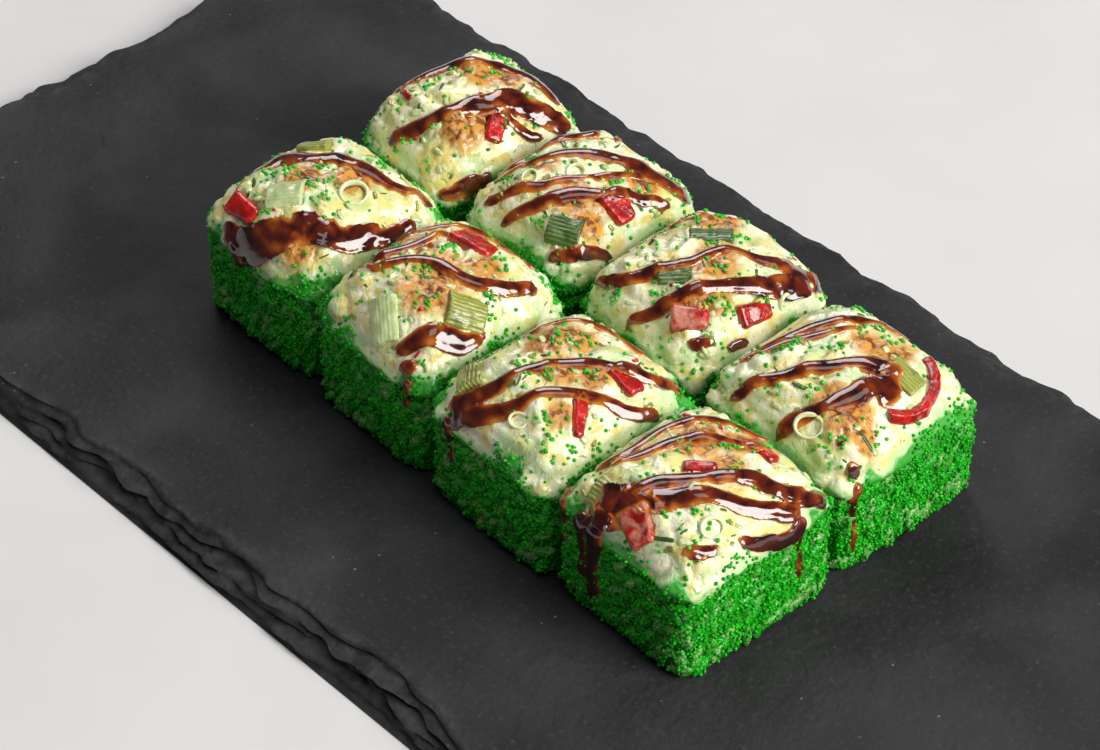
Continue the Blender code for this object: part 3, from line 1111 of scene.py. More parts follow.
@dataclass
class BakedTopping:
    """The creamy topping of one roll, with its browned patches and the roe that strays over it."""

    shape: RollShape
    seed: int
    browned: tuple[Spot, ...]
    around: int = 196
    rings: int = 56
    skirt: int = 8
    stray_roe: int = 60
    clusters: int = 16
    cluster_size: int = 8
    cluster_spread: float = 1.0 * MM
    steepest: float = 0.2
    browning_reach: float = 1.42
    browning_peak: float = 1.1

    def build(self) -> bpy.types.Object:
        """Builds the dome, its uneven edge hanging over the rice.

        Returns:
            The cream.
        """
        shape = self.shape
        angles = np.linspace(0, math.tau, self.around, endpoint=False)
        rim = shape.outline(angles, shape.squareness)
        hang = np.clip(-shape.edge_line(rim, self.seed), -0.4 * MM, None) + 0.5 * MM
        rings = []
        for step in range(self.skirt):
            share = step / self.skirt
            out = 0.955 + 0.050 * math.sin(math.pi * 0.5 * share) ** 0.7
            level = shape.rice_top - hang * (1 - share) + shape.rim * share
            rings.append(np.column_stack([rim * out, level]))
        full = shape.crown_top - shape.rice_top - shape.rim
        for step in range(self.rings):
            reach = math.cos(math.pi / 2 * (step / (self.rings - 0.5)) ** 0.92)
            squareness = 2.4 + (shape.squareness - 2.4) * reach**2.4
            flat = shape.outline(angles, squareness) * reach * (1.005 - 0.005 * (1 - reach))
            even = shape.rim + full * math.sqrt(1 - min(reach, 1.0) ** shape.crown_fall)
            level = shape.rice_top + 0.45 * shape.crown(flat[:, 0], flat[:, 1]) + 0.55 * even
            rings.append(np.column_stack([flat, level]))
        count = self.skirt + self.rings
        points = shape.to_world(np.concatenate(rings))
        thing = solid_object(f"{shape.name}_baked_cream", points, closed_rings(count, self.around))
        self.lump(thing)
        return thing

    def heat(self, points: np.ndarray) -> np.ndarray:
        """How browned the topping is at points, from 0 to 1.

        Args:
            points: The points, in the board's axes.

        Returns:
            One value a point.
        """
        own = self.shape.to_own(points) / MM
        total = np.zeros(len(points))
        for spot in self.browned:
            apart = np.hypot(own[:, 0] - spot.x, own[:, 1] - spot.y) / (self.browning_reach * spot.reach)
            total = np.maximum(total, self.browning_peak * np.exp(-(apart**2)))
        return total

    def lump(self, thing: bpy.types.Object) -> None:
        """Gives the cream its lumps and creases, and marks where it is browned and stained.

        Args:
            thing: The smooth cream.
        """
        rest = points_of(thing)
        heat = self.heat(rest)
        height = (rest[:, 2] - self.shape.rice_top) / (self.shape.crown_top - self.shape.rice_top)
        big = bumps(rest, 6.0 * MM, self.seed + 1)
        curd = np.abs(bumps(rest, 4.4 * MM, self.seed + 2)) - 0.22
        small = np.abs(bumps(rest, 1.9 * MM, self.seed + 3)) - 0.2
        rough = bumps(rest, 0.75 * MM, self.seed + 4)
        lift = (0.75 * big + 1.45 * curd + 0.46 * small + (0.03 + 0.12 * heat) * rough) * MM
        calm = np.clip(height * 4 + 0.45, 0.3, 1)
        move_points(thing, rest + normals_of(thing) * (lift * calm)[:, None])
        mark(thing, "browned", heat)
        line = self.shape.edge_line(self.shape.to_own(rest), self.seed)
        over = (rest[:, 2] - self.shape.rice_top - line) / MM
        mark(thing, "foot", np.clip(0.98 - over * 0.21, 0, 1.1))

    def make_room(self, thing: bpy.types.Object, pieces: BVHTree, sunk: float = 0.55 * MM) -> None:
        """Presses the cream down under the vegetables, so that they stand out of it.

        Args:
            thing: The cream.
            pieces: The vegetables on this roll.
            sunk: How far below a piece's top the cream stays.
        """
        points = points_of(thing)
        for number, point in enumerate(points):
            start = Vector((point[0], point[1], self.shape.crown_top + DROP_START))
            hit, _, _, _ = pieces.ray_cast(start, DOWN, DROP_REACH)
            if hit is not None and point[2] > self.shape.rice_top:
                points[number, 2] = min(point[2], hit.z - sunk)
        move_points(thing, points)

    def roe_places(self, ground: BVHTree) -> tuple[np.ndarray, np.ndarray]:
        """Chooses where roe has strayed over the topping, singly and in small clusters.

        Args:
            ground: The topping's surface.

        Returns:
            Places and normals on the surface.
        """
        rng = np.random.default_rng(self.seed + 30)
        half = np.array([self.shape.half_length, self.shape.half_width])
        single = rng.uniform(-0.93, 0.93, (self.stray_roe, 2)) * half
        middles = rng.uniform(-0.9, 0.9, (self.clusters, 2)) * half
        near = middles[:, None, :] + rng.normal(0, self.cluster_spread, (self.clusters, self.cluster_size, 2))
        flat = np.concatenate([single, near.reshape(-1, 2)])
        return self.shape.drop(flat, ground, self.steepest)


@dataclass
class VegetablePiece:
    """A piece of pepper or onion, modelled over its CAD solid."""

    node: str
    finish: bpy.types.Material
    slot: str
    seed: int
    voxel: float = 0.30 * MM
    uneven: float = 0.22 * MM
    ribs_per_metre: float = 1250.0
    smoothings: int = 2

    def build(self) -> bpy.types.Object:
        """Softens the solid's edges, makes its faces uneven and marks its ribs.

        Returns:
            The piece.
        """
        thing = linked(self.node.replace("roll_", ""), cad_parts[self.node].data.copy())
        remesh(thing, self.voxel, self.smoothings)
        rest = points_of(thing)
        middle = rest.mean(0)
        _, _, axes = np.linalg.svd(rest - middle, full_matrices=False)
        spread = (rest - middle) @ axes[1]
        mark(thing, "rib", spread * self.ribs_per_metre)
        wobble = self.uneven * bumps(rest, 2.2 * MM, self.seed)
        wobble += 0.3 * self.uneven * bumps(rest, 0.8 * MM, self.seed)
        move_points(thing, rest + normals_of(thing) * wobble[:, None])
        thing.data.materials.clear()
        thing.data.materials.append(self.finish)
        thing.data.shade_smooth()
        return ride_root(thing, self.slot, self.node)


@dataclass(frozen=True)
class BitKind:
    """A kind of small piece chopped into the topping: how many a roll, and its half-sizes, in mm."""

    name: str
    finish: str
    slot: str
    count: int
    smallest: tuple[float, float, float]
    largest: tuple[float, float, float]
    sunk: float


BIT_KINDS = (
    BitKind("chopped_onion", "pale_onion", "green_onion", 30, (0.5, 0.35, 0.30), (1.4, 0.8, 0.55), 0.35),
    BitKind("chopped_stalk", "olive_onion", "green_onion", 14, (0.5, 0.3, 0.25), (1.3, 0.6, 0.45), 0.25),
    BitKind("leaf_flecks", "dark_onion", "green_onion", 16, (0.4, 0.12, 0.08), (1.2, 0.36, 0.14), 0.02),
    BitKind("pepper_crumbs", "pepper", "red_pepper", 4, (0.4, 0.3, 0.25), (1.0, 0.6, 0.45), 0.20),
)


@dataclass(frozen=True)
class Ring:
    """A slice of onion stalk lying in the topping: its place, outer radius and tilt."""

    roll: str
    x: float
    y: float
    radius: float
    tilt_deg: float = 12.0


RINGS = (
    Ring("front_1", 7.2, 1.5, 2.8), Ring("back_2", 0.0, -1.7, 2.1), Ring("back_2", -4.9, -9.0, 1.8),
    Ring("back_3", 14.6, 6.3, 2.0, 40.0), Ring("back_4", 5.9, -14.6, 2.7), Ring("front_4", 11.4, -7.6, 2.2),
    Ring("back_1", 10.0, 3.4, 1.7), Ring("front_3", 3.5, -13.5, 1.8),
)

STICKS = (
    ("front_4", 7.0, -14.6, 2.1, 20.0), ("back_4", 15.2, -9.4, 2.2, 75.0),
    ("back_4", -0.5, -10.3, 2.0, 100.0),
    ("front_1", -9.5, -9.5, 1.5, 140.0), ("front_3", -1.7, -8.9, 1.9, 30.0), ("back_2", -9.5, 3.5, 1.6, 60.0),
    ("back_1", 6.1, 7.4, 1.8, 10.0), ("back_3", -10.5, -4.0, 1.7, 120.0),
    ("front_2", -12.1, -11.5, 2.0, 80.0),
)


SLIVERS = (
    ("front_2", -10.2, -8.5, 1.9, 60.0), ("back_1", -6.7, -10.6, 1.8, 10.0),
    ("front_2", -11.4, -3.5, 1.1, 20.0),
    ("back_2", -4.0, 12.5, 1.4, 120.0), ("front_2", 15.0, -3.0, 1.2, 80.0),
)


STRIPS = (("leaf_flecks", STICKS, 0.45), ("pepper_crumbs", SLIVERS, 0.70))  # kind, strips, half-width in mm
RING_SPIN = 9  # how many times its tilt a ring is spun


@dataclass
class TopBits:
    """Small chopped pieces in all the toppings, gathered roll by roll and joined kind by kind."""

    finishes: dict[str, bpy.types.Material]
    spread: float = 0.90
    seed: int = 7
    laid: dict[str, list[tuple[np.ndarray, ...]]] = field(default_factory=dict)

    def __post_init__(self) -> None:
        """Seeds the scatter."""
        self.rng = np.random.default_rng(self.seed)

    def strew(self, shape: RollShape, ground: BVHTree) -> None:
        """Scatters every kind over one roll.

        Args:
            shape: The roll.
            ground: The topping's surface.
        """
        half = np.array([shape.half_length, shape.half_width])
        for kind in BIT_KINDS:
            flat = self.rng.uniform(-self.spread, self.spread, (kind.count, 2)) * half
            spots, tilts = shape.drop(flat, ground)
            sizes = self.rng.uniform(kind.smallest, kind.largest, (len(spots), 3)) * MM
            leaning = tilts + self.rng.normal(0, 0.22, tilts.shape)
            leaning /= np.linalg.norm(leaning, axis=1, keepdims=True)
            frames = frames_along(leaning, self.rng.uniform(0, math.tau, len(spots)))
            bedded = spots - tilts * kind.sunk * sizes[:, 2:]
            self.laid.setdefault(kind.name, []).append((bedded, frames, sizes))

    def place_sticks(self, shape: RollShape, ground: BVHTree) -> None:
        """Lays the slivers of onion leaf and of pepper on one roll.

        Args:
            shape: The roll.
            ground: The topping's surface.
        """
        for kind, slivers, half_width in STRIPS:
            for roll, x, y, half, angle in slivers:
                if roll == shape.name:
                    spots, tilts = shape.drop(np.array([[x, y]]) * MM, ground)
                    frames = frames_along(tilts, np.radians([angle]))
                    sizes = np.array([[half, half_width, 0.5 * half_width]]) * MM
                    self.laid[kind].append((spots, frames, sizes))

    def place_rings(self, shape: RollShape, ground: BVHTree) -> None:
        """Lays the rings of onion stalk on one roll.

        Args:
            shape: The roll.
            ground: The topping's surface.
        """
        for ring in RINGS:
            if ring.roll == shape.name:
                spots, tilts = shape.drop(np.array([[ring.x, ring.y]]) * MM, ground)
                frames = frames_along(tilts, np.radians([ring.tilt_deg * RING_SPIN]))
                lean = math.radians(ring.tilt_deg)
                tipped = np.array(Matrix.Rotation(lean, 3, "X"))
                sizes = np.full((1, 3), ring.radius * MM)
                self.laid.setdefault("onion_rings", []).append((spots, frames @ tipped, sizes))

    @staticmethod
    def chip() -> tuple[np.ndarray, np.ndarray]:
        """A rounded, slightly crooked block of unit half-size.

        Returns:
            Its points and its triangles.
        """
        points, faces = primitive_arrays("create_icosphere", subdivisions=2, radius=1.0)
        points = np.sign(points) * np.abs(points) ** 0.62
        points[:, 0] += 0.18 * points[:, 1] ** 2
        points[:, 2] += 0.15 * points[:, 0] * points[:, 1]
        return points, faces

    @staticmethod
    def hoop() -> tuple[np.ndarray, np.ndarray]:
        """A slightly oval hoop of unit radius, thicker on one side.

        Returns:
            Its points and its quads.
        """
        around, about = 36, 10
        turn = np.linspace(0, math.tau, around, endpoint=False)
        roll = np.linspace(0, math.tau, about, endpoint=False)
        wall = (0.15 + 0.05 * np.cos(turn))[:, None]
        reach = (1.0 - 0.07 * np.cos(2 * turn))[:, None] - wall + wall * np.cos(roll)[None, :]
        x = reach * np.cos(turn)[:, None]
        y = reach * np.sin(turn)[:, None]
        z = np.broadcast_to(0.26 * np.sin(roll)[None, :], x.shape)
        points = np.stack([x, y, z], -1).reshape(-1, 3)
        numbers = np.arange(around * about).reshape(around, about)
        after = np.roll(numbers, -1, axis=0)
        quads = np.stack([numbers, after, np.roll(after, -1, axis=1), np.roll(numbers, -1, axis=1)], -1)
        return points, quads.reshape(-1, 4)

    def build(self) -> list[bpy.types.Object]:
        """Joins what was laid, one piece a kind.

        Returns:
            The pieces.
        """
        looks = {kind.name: (kind.finish, kind.slot) for kind in BIT_KINDS}
        looks["onion_rings"] = ("ring_onion", "green_onion")
        made = []
        for name, batches in self.laid.items():
            spots, frames, sizes = (np.concatenate(part) for part in zip(*batches))
            shape = self.hoop() if name == "onion_rings" else self.chip()
            thing = scatter(name, shape, spots, frames, sizes)
            finish, slot = looks[name]
            thing.data.materials.append(self.finishes[finish])
            made.append(ride_root(thing, slot))
        return made


Run = tuple[tuple[float, float, float], ...]


@dataclass(frozen=True)
class Drip:
    """Sauce that ran down a side: where along it, from and to which height, how wide, all in mm."""

    side: Side
    offset: float
    top: float
    bottom: float
    width: float


@dataclass
class SauceDrizzle:
    """The sauce on one roll.

    A run is a line of sauce over the topping: a few places from the roll's middle, each with the
    line's width there, in mm.
    """

    shape: RollShape
    runs: tuple[Run, ...]
    drips: tuple[Drip, ...]
    voxel: float = 0.22 * MM
    spacing: float = 0.45 * MM
    sides: int = 14
    swell: float = 1.28
    height_share: float = 0.30
    tallest: float = 0.85 * MM
    film_height: float = 0.26 * MM
    film_spread: float = 1.28
    film_slip: float = 0.75 * MM
    drip_lift: float = 0.10 * MM
    drip_height: float = 1.25 * MM
    drip_steps: int = 24
    fall: float = 60 * MM
    smoothings: int = 7
    smoothing_share: float = 0.6

    def smooth_path(self, points: np.ndarray) -> np.ndarray:
        """Runs a Catmull-Rom curve through points, sampled at the spacing.

        Args:
            points: The points, one row each, of any number of columns.

        Returns:
            The samples, one row each.
        """
        ends = np.concatenate([[2 * points[0] - points[1]], points, [2 * points[-1] - points[-2]]])
        samples = []
        for index in range(1, len(ends) - 2):
            before, start, stop, after = ends[index - 1 : index + 3]
            steps = max(2, round(np.linalg.norm((stop - start)[:2]) / self.spacing))
            for t in np.arange(steps) / steps:
                samples.append(
                    0.5
                    * (
                        2 * start
                        + (stop - before) * t
                        + (2 * before - 5 * start + 4 * stop - after) * t**2
                        + (3 * start - before - 3 * stop + after) * t**3
                    )
                )
        samples.append(ends[-2])
        return np.array(samples)

    def laid(self, own: np.ndarray, ground: BVHTree) -> tuple[np.ndarray, np.ndarray]:
        """Lays points on the roll's surface.

        Args:
            own: Points in the roll's own axes.
            ground: The surface.

        Returns:
            The points on the surface and the normals there.
        """
        spots, tilts = [], []
        for point in self.shape.to_world(own):
            start = Vector((point[0], point[1], self.shape.crown_top + DROP_START))
            hit, facing, _, _ = ground.ray_cast(start, DOWN, self.fall)
            too_low = hit is None or hit.z < self.shape.rice_top - 0.5 * MM
            if too_low or point[2] > 0:
                level = point[2] if point[2] > 0 else self.shape.rice_top + self.shape.rim
                hit, facing, _, _ = ground.find_nearest(Vector((point[0], point[1], level)))
                hit = hit + facing * self.drip_lift
            spots.append(hit[:])
            tilts.append(facing[:])
        return np.array(spots), np.array(tilts)

    def tube(
        self, spots: np.ndarray, tilts: np.ndarray, widths: np.ndarray, tallest: float
    ) -> tuple[np.ndarray, list[list[int]]]:
        """Sweeps a flattened oval along a path.

        Args:
            spots: The path.
            tilts: The surface's normals along it.
            widths: Width at each point.
            tallest: Greatest height above the surface.

        Returns:
            Points and faces of the closed tube.
        """
        tilts = self.calmed(tilts, 6)
        lift = ((self.calmed(spots, 9) - spots) * tilts).sum(1)
        spots = spots + tilts * np.clip(lift, -0.25 * MM, 0.9 * MM)[:, None]
        forward = np.gradient(spots, axis=0)
        forward /= np.linalg.norm(forward, axis=1, keepdims=True) + 1e-12
        across = np.cross(forward, tilts)
        across /= np.linalg.norm(across, axis=1, keepdims=True) + 1e-12
        upward = np.cross(across, forward)
        share = np.linspace(0, 1, len(spots))
        run_out = np.sqrt(np.clip(np.minimum(share, 1 - share) * len(spots) / 2.6, 0.05, 1))
        half = widths / 2 * run_out
        rise = np.minimum(widths * self.height_share, tallest) * run_out
        turn = np.linspace(0, math.tau, self.sides, endpoint=False)
        ring = (
            spots[:, None, :]
            + across[:, None, :] * (half[:, None] * np.cos(turn))[:, :, None]
            + upward[:, None, :] * (rise[:, None] * np.sin(turn))[:, :, None]
        )
        return ring.reshape(-1, 3), closed_rings(len(spots), self.sides)

    @staticmethod
    def calmed(rows: np.ndarray, reach: int) -> np.ndarray:
        """Averages each row with its neighbours, up to the reach on both sides.

        Args:
            rows: What is averaged.
            reach: How many neighbours count on each side.

        Returns:
            The averaged rows.
        """
        kernel = np.hanning(2 * reach + 3)[1:-1]
        kernel /= kernel.sum()
        padded = np.pad(rows, ((reach, reach), (0, 0)), mode="edge")
        return np.stack([np.convolve(column, kernel, "valid") for column in padded.T], -1)

    def paths(self) -> list[np.ndarray]:
        """Every line of sauce as rows of x, y, z, width; z is 0 where it lies on the topping.

        Returns:
            One array a line of sauce.
        """
        found = []
        for run in self.runs:
            x, y, width = self.smooth_path(np.array(run) * MM).T
            found.append(np.column_stack([x, y, np.zeros(len(x)), width]))
        for drip in self.drips:
            x_way, y_way = drip.side.value
            reach = self.shape.half_length if x_way else self.shape.half_width
            level = np.linspace(drip.top, drip.bottom, self.drip_steps)
            sway = 0.45 * np.sin(level * 0.45 + drip.offset)
            x = x_way * reach + abs(y_way) * (drip.offset + sway) * MM
            y = y_way * reach + abs(x_way) * (drip.offset + sway) * MM
            swell = 1.0 - 0.42 * np.sin(np.linspace(0, 1, self.drip_steps) * math.pi * 0.8) ** 2
            rows = np.broadcast_arrays(x, y, self.shape.base + level * MM, drip.width * MM * swell)
            found.append(np.column_stack(rows))
        return found

    def build(self, ground: BVHTree) -> bpy.types.Object:
        """Builds the sauce as one smooth body and marks how deep it is.

        Args:
            ground: The surface that the sauce lies on.

        Returns:
            The sauce.
        """
        points: list[list[float]] = []
        faces: list[list[int]] = []
        for path in self.paths():
            spots, tilts = self.laid(path[:, :3], ground)
            widths = path[:, 3] * self.swell
            slid = spots + tilts * [[1.0, 1.0, 0.0]] * self.film_slip
            tallest = self.drip_height if path[0, 2] > 0 else self.tallest
            laid = (
                self.tube(spots, tilts, widths, tallest),
                self.tube(slid, tilts, widths * self.film_spread, self.film_height),
            )
            for ring_points, ring_quads in laid[: 1 if path[0, 2] > 0 else 2]:
                faces += [[len(points) + i for i in face] for face in ring_quads]
                points += ring_points.tolist()
        thing = solid_object(f"{self.shape.name}_sauce", np.array(points), faces)
        remesh(thing, self.voxel, self.smoothings, self.smoothing_share)
        thing.data.shade_smooth()
        depths = []
        for point in points_of(thing):
            hit, facing, _, _ = ground.find_nearest(Vector(point))
            depths.append((Vector(point) - hit).dot(facing) / MM)
        mark(thing, "depth", np.clip(np.array(depths), 0, 1.2))
        return thing


@dataclass(frozen=True)
class Roll:
    """What is particular to one roll: its form, its browning and the sauce on it."""

    name: str
    squareness: float
    turn_deg: float
    browned: tuple[Spot, ...]
    runs: tuple[Run, ...]
    drips: tuple[Drip, ...] = ()


SERVING_TURN_DEG = -1.9

ROLLS = (
    Roll(
        "front_1", 6, SERVING_TURN_DEG,
        (Spot(-2, -3, 3.0), Spot(4, 4, 3.2), Spot(9, -13, 3.0)),
        (
            ((-13.8, -7, 3.6), (-9.8, 0.6, 4.2), (-2.5, 5.6, 3.2), (8, 9.3, 2.0), (13.5, 15, 1.6)),
            ((-8.5, -17.5, 2.2), (1, -16.6, 5.4), (8, -10, 4.6), (13.2, -6, 4.0), (15.8, 3, 3.0),
             (16, 9, 2.0)),
        ),
        (Drip(Side.FRONT, -4.0, 22.5, 16.0, 3.0),),
    ),
    Roll(
        "front_2", 7, SERVING_TURN_DEG,
        (Spot(3.7, -5.2, 4.6), Spot(1, -1, 3.6), Spot(-7, 1, 3.0), Spot(6, 6, 2.6)),
        (
            ((-13, -5, 1.6), (-12, 4, 1.8), (-8, 10.5, 1.6), (-2, 15, 1.6), (7, 17, 1.5)),
            ((-11, -7, 2.4), (-8.6, -2.7, 1.9), (-7, 2.2, 1.7), (-6.6, 7.5, 1.1)),
            ((-8.5, -9.5, 1.5), (-5, -4, 2.0), (-0.5, -0.8, 2.0), (6, 0.6, 2.0), (10.5, 5, 2.3),
             (12.8, 12.5, 1.6)),
            ((7.5, -16.5, 1.9), (9.2, -13.6, 2.8), (11.6, -10.6, 3.4), (14.3, -7.2, 3.0), (15.8, -3.5, 1.5)),
            ((9.5, -17.6, 1.8), (12.6, -15.8, 2.2)),
        ),
        (Drip(Side.FRONT, 11.5, 22.0, 14.5, 2.0),),
    ),
    Roll(
        "front_3", 8, SERVING_TURN_DEG,
        (Spot(-7, 2, 3.4), Spot(-4, 6.5, 3.2), Spot(1.5, -1.0, 3.2), Spot(8.5, -8.2, 2.0), Spot(6, 2, 2.4)),
        (
            ((-14.5, -9, 1.5), (-13.2, 0, 1.8), (-11.2, 8, 1.8), (-6, 13.2, 1.8), (4.5, 16.2, 1.4)),
            ((-10.5, -17.4, 2.6), (-5.4, -13, 2.4), (-3, -7, 2.2), (0, -0.5, 2.2), (5, 5.4, 2.4),
             (11.4, 10.9, 2.0),
             (13, 16.6, 1.8)),
            ((-9.4, -18, 2.8), (-3.6, -16.3, 2.8), (0.8, -12.8, 2.4), (3, -8, 2.2), (7.4, -2.6, 2.0),
             (14, 3.6, 1.9),
             (15.8, 8.5, 1.6)),
        ),
        (Drip(Side.FRONT, -9.4, 22.5, 11.0, 2.6),),
    ),
    Roll(
        "front_4", 10, SERVING_TURN_DEG,
        (Spot(-4.5, 4, 3.6), Spot(0, 9.5, 2.8), Spot(4, 3, 3.0), Spot(2, 14, 2.4)),
        (
            ((-14, -11, 1.7), (-11.8, -5, 2.1), (-11.2, 3, 2.2), (-7.6, 10.6, 2.1), (0.5, 16.8, 1.6)),
            ((-11, -10, 1.6), (-8.4, -5, 2.0), (-6.8, 1, 2.1), (-2.4, 6.5, 1.9), (4.5, 12.4, 1.6)),
            ((-4, -15, 2.2), (-1.8, -8.6, 2.4), (1.6, -4.2, 2.4), (7.4, 4, 2.4), (12.8, 8.6, 2.5),
             (15.6, 16, 2.6)),
            ((-7.5, -17.6, 6.2), (-3, -14.2, 5.2), (3.6, -7.8, 3.2), (8, -2.8, 2.6), (11.6, 0.6, 2.4),
             (14.2, 5, 2.4),
             (16.0, 9, 2.4)),
            ((16.4, 9, 2.2), (16.6, 5.6, 2.0), (16.2, 0.6, 2.0), (15.0, -5.0, 1.3)),
            ((11.6, -14.4, 1.8), (13.4, -11.4, 1.8), (14.5, -8.4, 1.1)),
            ((-16, -14, 1.4), (-15.8, -17.4, 2.6)),
        ),
        (
            Drip(Side.NEAR_END, 9.2, 23.0, 8.0, 2.4),
            Drip(Side.FRONT, -6.6, 23.0, 3.6, 4.0),
            Drip(Side.FRONT, -9.6, 22.6, 7.4, 3.4),
            Drip(Side.FRONT, -15.4, 22.5, 10.0, 2.0),
        ),
    ),
    Roll(
        "back_1", 6, SERVING_TURN_DEG - 4,
        (Spot(7.5, -8, 3.4), Spot(9.5, -4, 2.4), Spot(-1.5, 3.5, 3.4), Spot(2, 7.5, 2.4)),
        (
            ((-12.4, -10, 3.0), (-9, -0.6, 3.0), (-5, 6, 2.8), (1, 11, 3.0), (10.5, 13.6, 2.2)),
            ((-3.4, -17, 1.8), (1, -12.8, 2.6), (5, -4, 3.4), (7.8, 4, 4.0), (12, 9, 3.2), (14, 13.5, 2.6)),
            ((9.4, 1.6, 1.5), (12, 2.0, 1.5), (14.6, 6.5, 1.3)),
            ((12.4, -17, 2.0), (14.7, -12.4, 2.6), (15.1, -6.4, 1.6)),
        ),
    ),
    Roll(
        "back_2", 7, SERVING_TURN_DEG,
        (Spot(4.5, -6.5, 3.2), Spot(8.6, -2.2, 2.6), Spot(10.5, -8, 2.4), Spot(9, 7, 2.4), Spot(-6, -4, 2.2)),
        (
            ((-14, -9, 1.7), (-12.6, 0, 2.6), (-10.5, 8, 3.0), (-8, 12, 2.0)),
            ((-13, -11, 1.4), (-9.6, -4, 2.1), (-4, 2.6, 2.3), (2.4, 8, 2.8), (8, 11, 3.6),
             (13.4, 15.2, 4.2)),
            ((-9.8, -16, 1.3), (-5, -11.5, 1.7), (0, -4.6, 1.6), (4.6, 3, 1.6), (8, 9, 1.7)),
            ((-4, -17, 1.2), (0, -12, 2.4), (4, -5.8, 2.6), (9.4, 1, 2.0), (14.2, 9.4, 1.7)),
            ((9.1, -16.8, 1.3), (12.9, -13, 2.1), (15, -6.4, 1.2)),
        ),
    ),
    Roll(
        "back_3", 7, SERVING_TURN_DEG,
        (Spot(-6, 9, 3.4), Spot(3.6, -1, 3.2), Spot(8.6, -6.4, 3.0), Spot(8, -11, 2.0), Spot(2, 1, 3.0)),
        (
            ((-14.4, -4, 1.4), (-12.8, 4, 1.5), (-9.6, 10.4, 1.3)),
            ((-12.6, -15.6, 1.5), (-6.4, -13.6, 2.1), (-3, -9, 2.2), (0.2, -4, 2.2), (1.8, 3, 2.0),
             (7.6, 7.4, 2.0),
             (12, 12, 3.4), (13.6, 16.2, 2.8)),
            ((-1.4, -18, 1.3), (2.4, -14.8, 1.9), (5.4, -9.2, 2.2), (8, -3.4, 2.1), (12.4, 4.6, 3.0),
             (14.4, 13, 3.4)),
            ((11.4, -15.2, 1.7), (14.2, -11.2, 1.6)),
            ((15.2, -9.2, 1.3), (16.1, -4.4, 1.3)),
        ),
    ),
    Roll(
        "back_4", 9, SERVING_TURN_DEG,
        (Spot(0, 6, 2.6), Spot(4.5, 8, 3.0), Spot(10, -9, 3.6), Spot(14.5, -9.4, 2.0), Spot(6, -9, 2.6)),
        (
            ((-10.8, -17.2, 1.4), (-5.8, -11.6, 2.1), (-1, -4.8, 2.4), (3, 0.6, 2.8), (7.4, 2.8, 3.8),
             (10.6, 0, 4.2),
             (11.4, -3, 3.2)),
            ((8.8, 0.4, 3.2), (8, -5.6, 3.4), (5.4, -10.6, 2.9), (3.4, -14.4, 2.6), (1.6, -17.8, 1.9)),
            ((-14, -12, 1.4), (-12.2, -3.6, 1.9), (-9.5, 4.2, 2.1), (-5.5, 10.7, 2.3), (0, 17, 1.5)),
            ((-12.6, -10, 1.2), (-10.8, -4.6, 1.6), (-7.2, 1.4, 1.6), (-3.7, 8.4, 1.2)),
            ((15.4, -14.6, 1.6), (17.0, -13.4, 2.2)),
        ),
        (Drip(Side.NEAR_END, -14.6, 22.0, 1.6, 1.9),),
    ),
)


# ---------------------------------------------------------------------------------------------
# Board, studio
# ---------------------------------------------------------------------------------------------


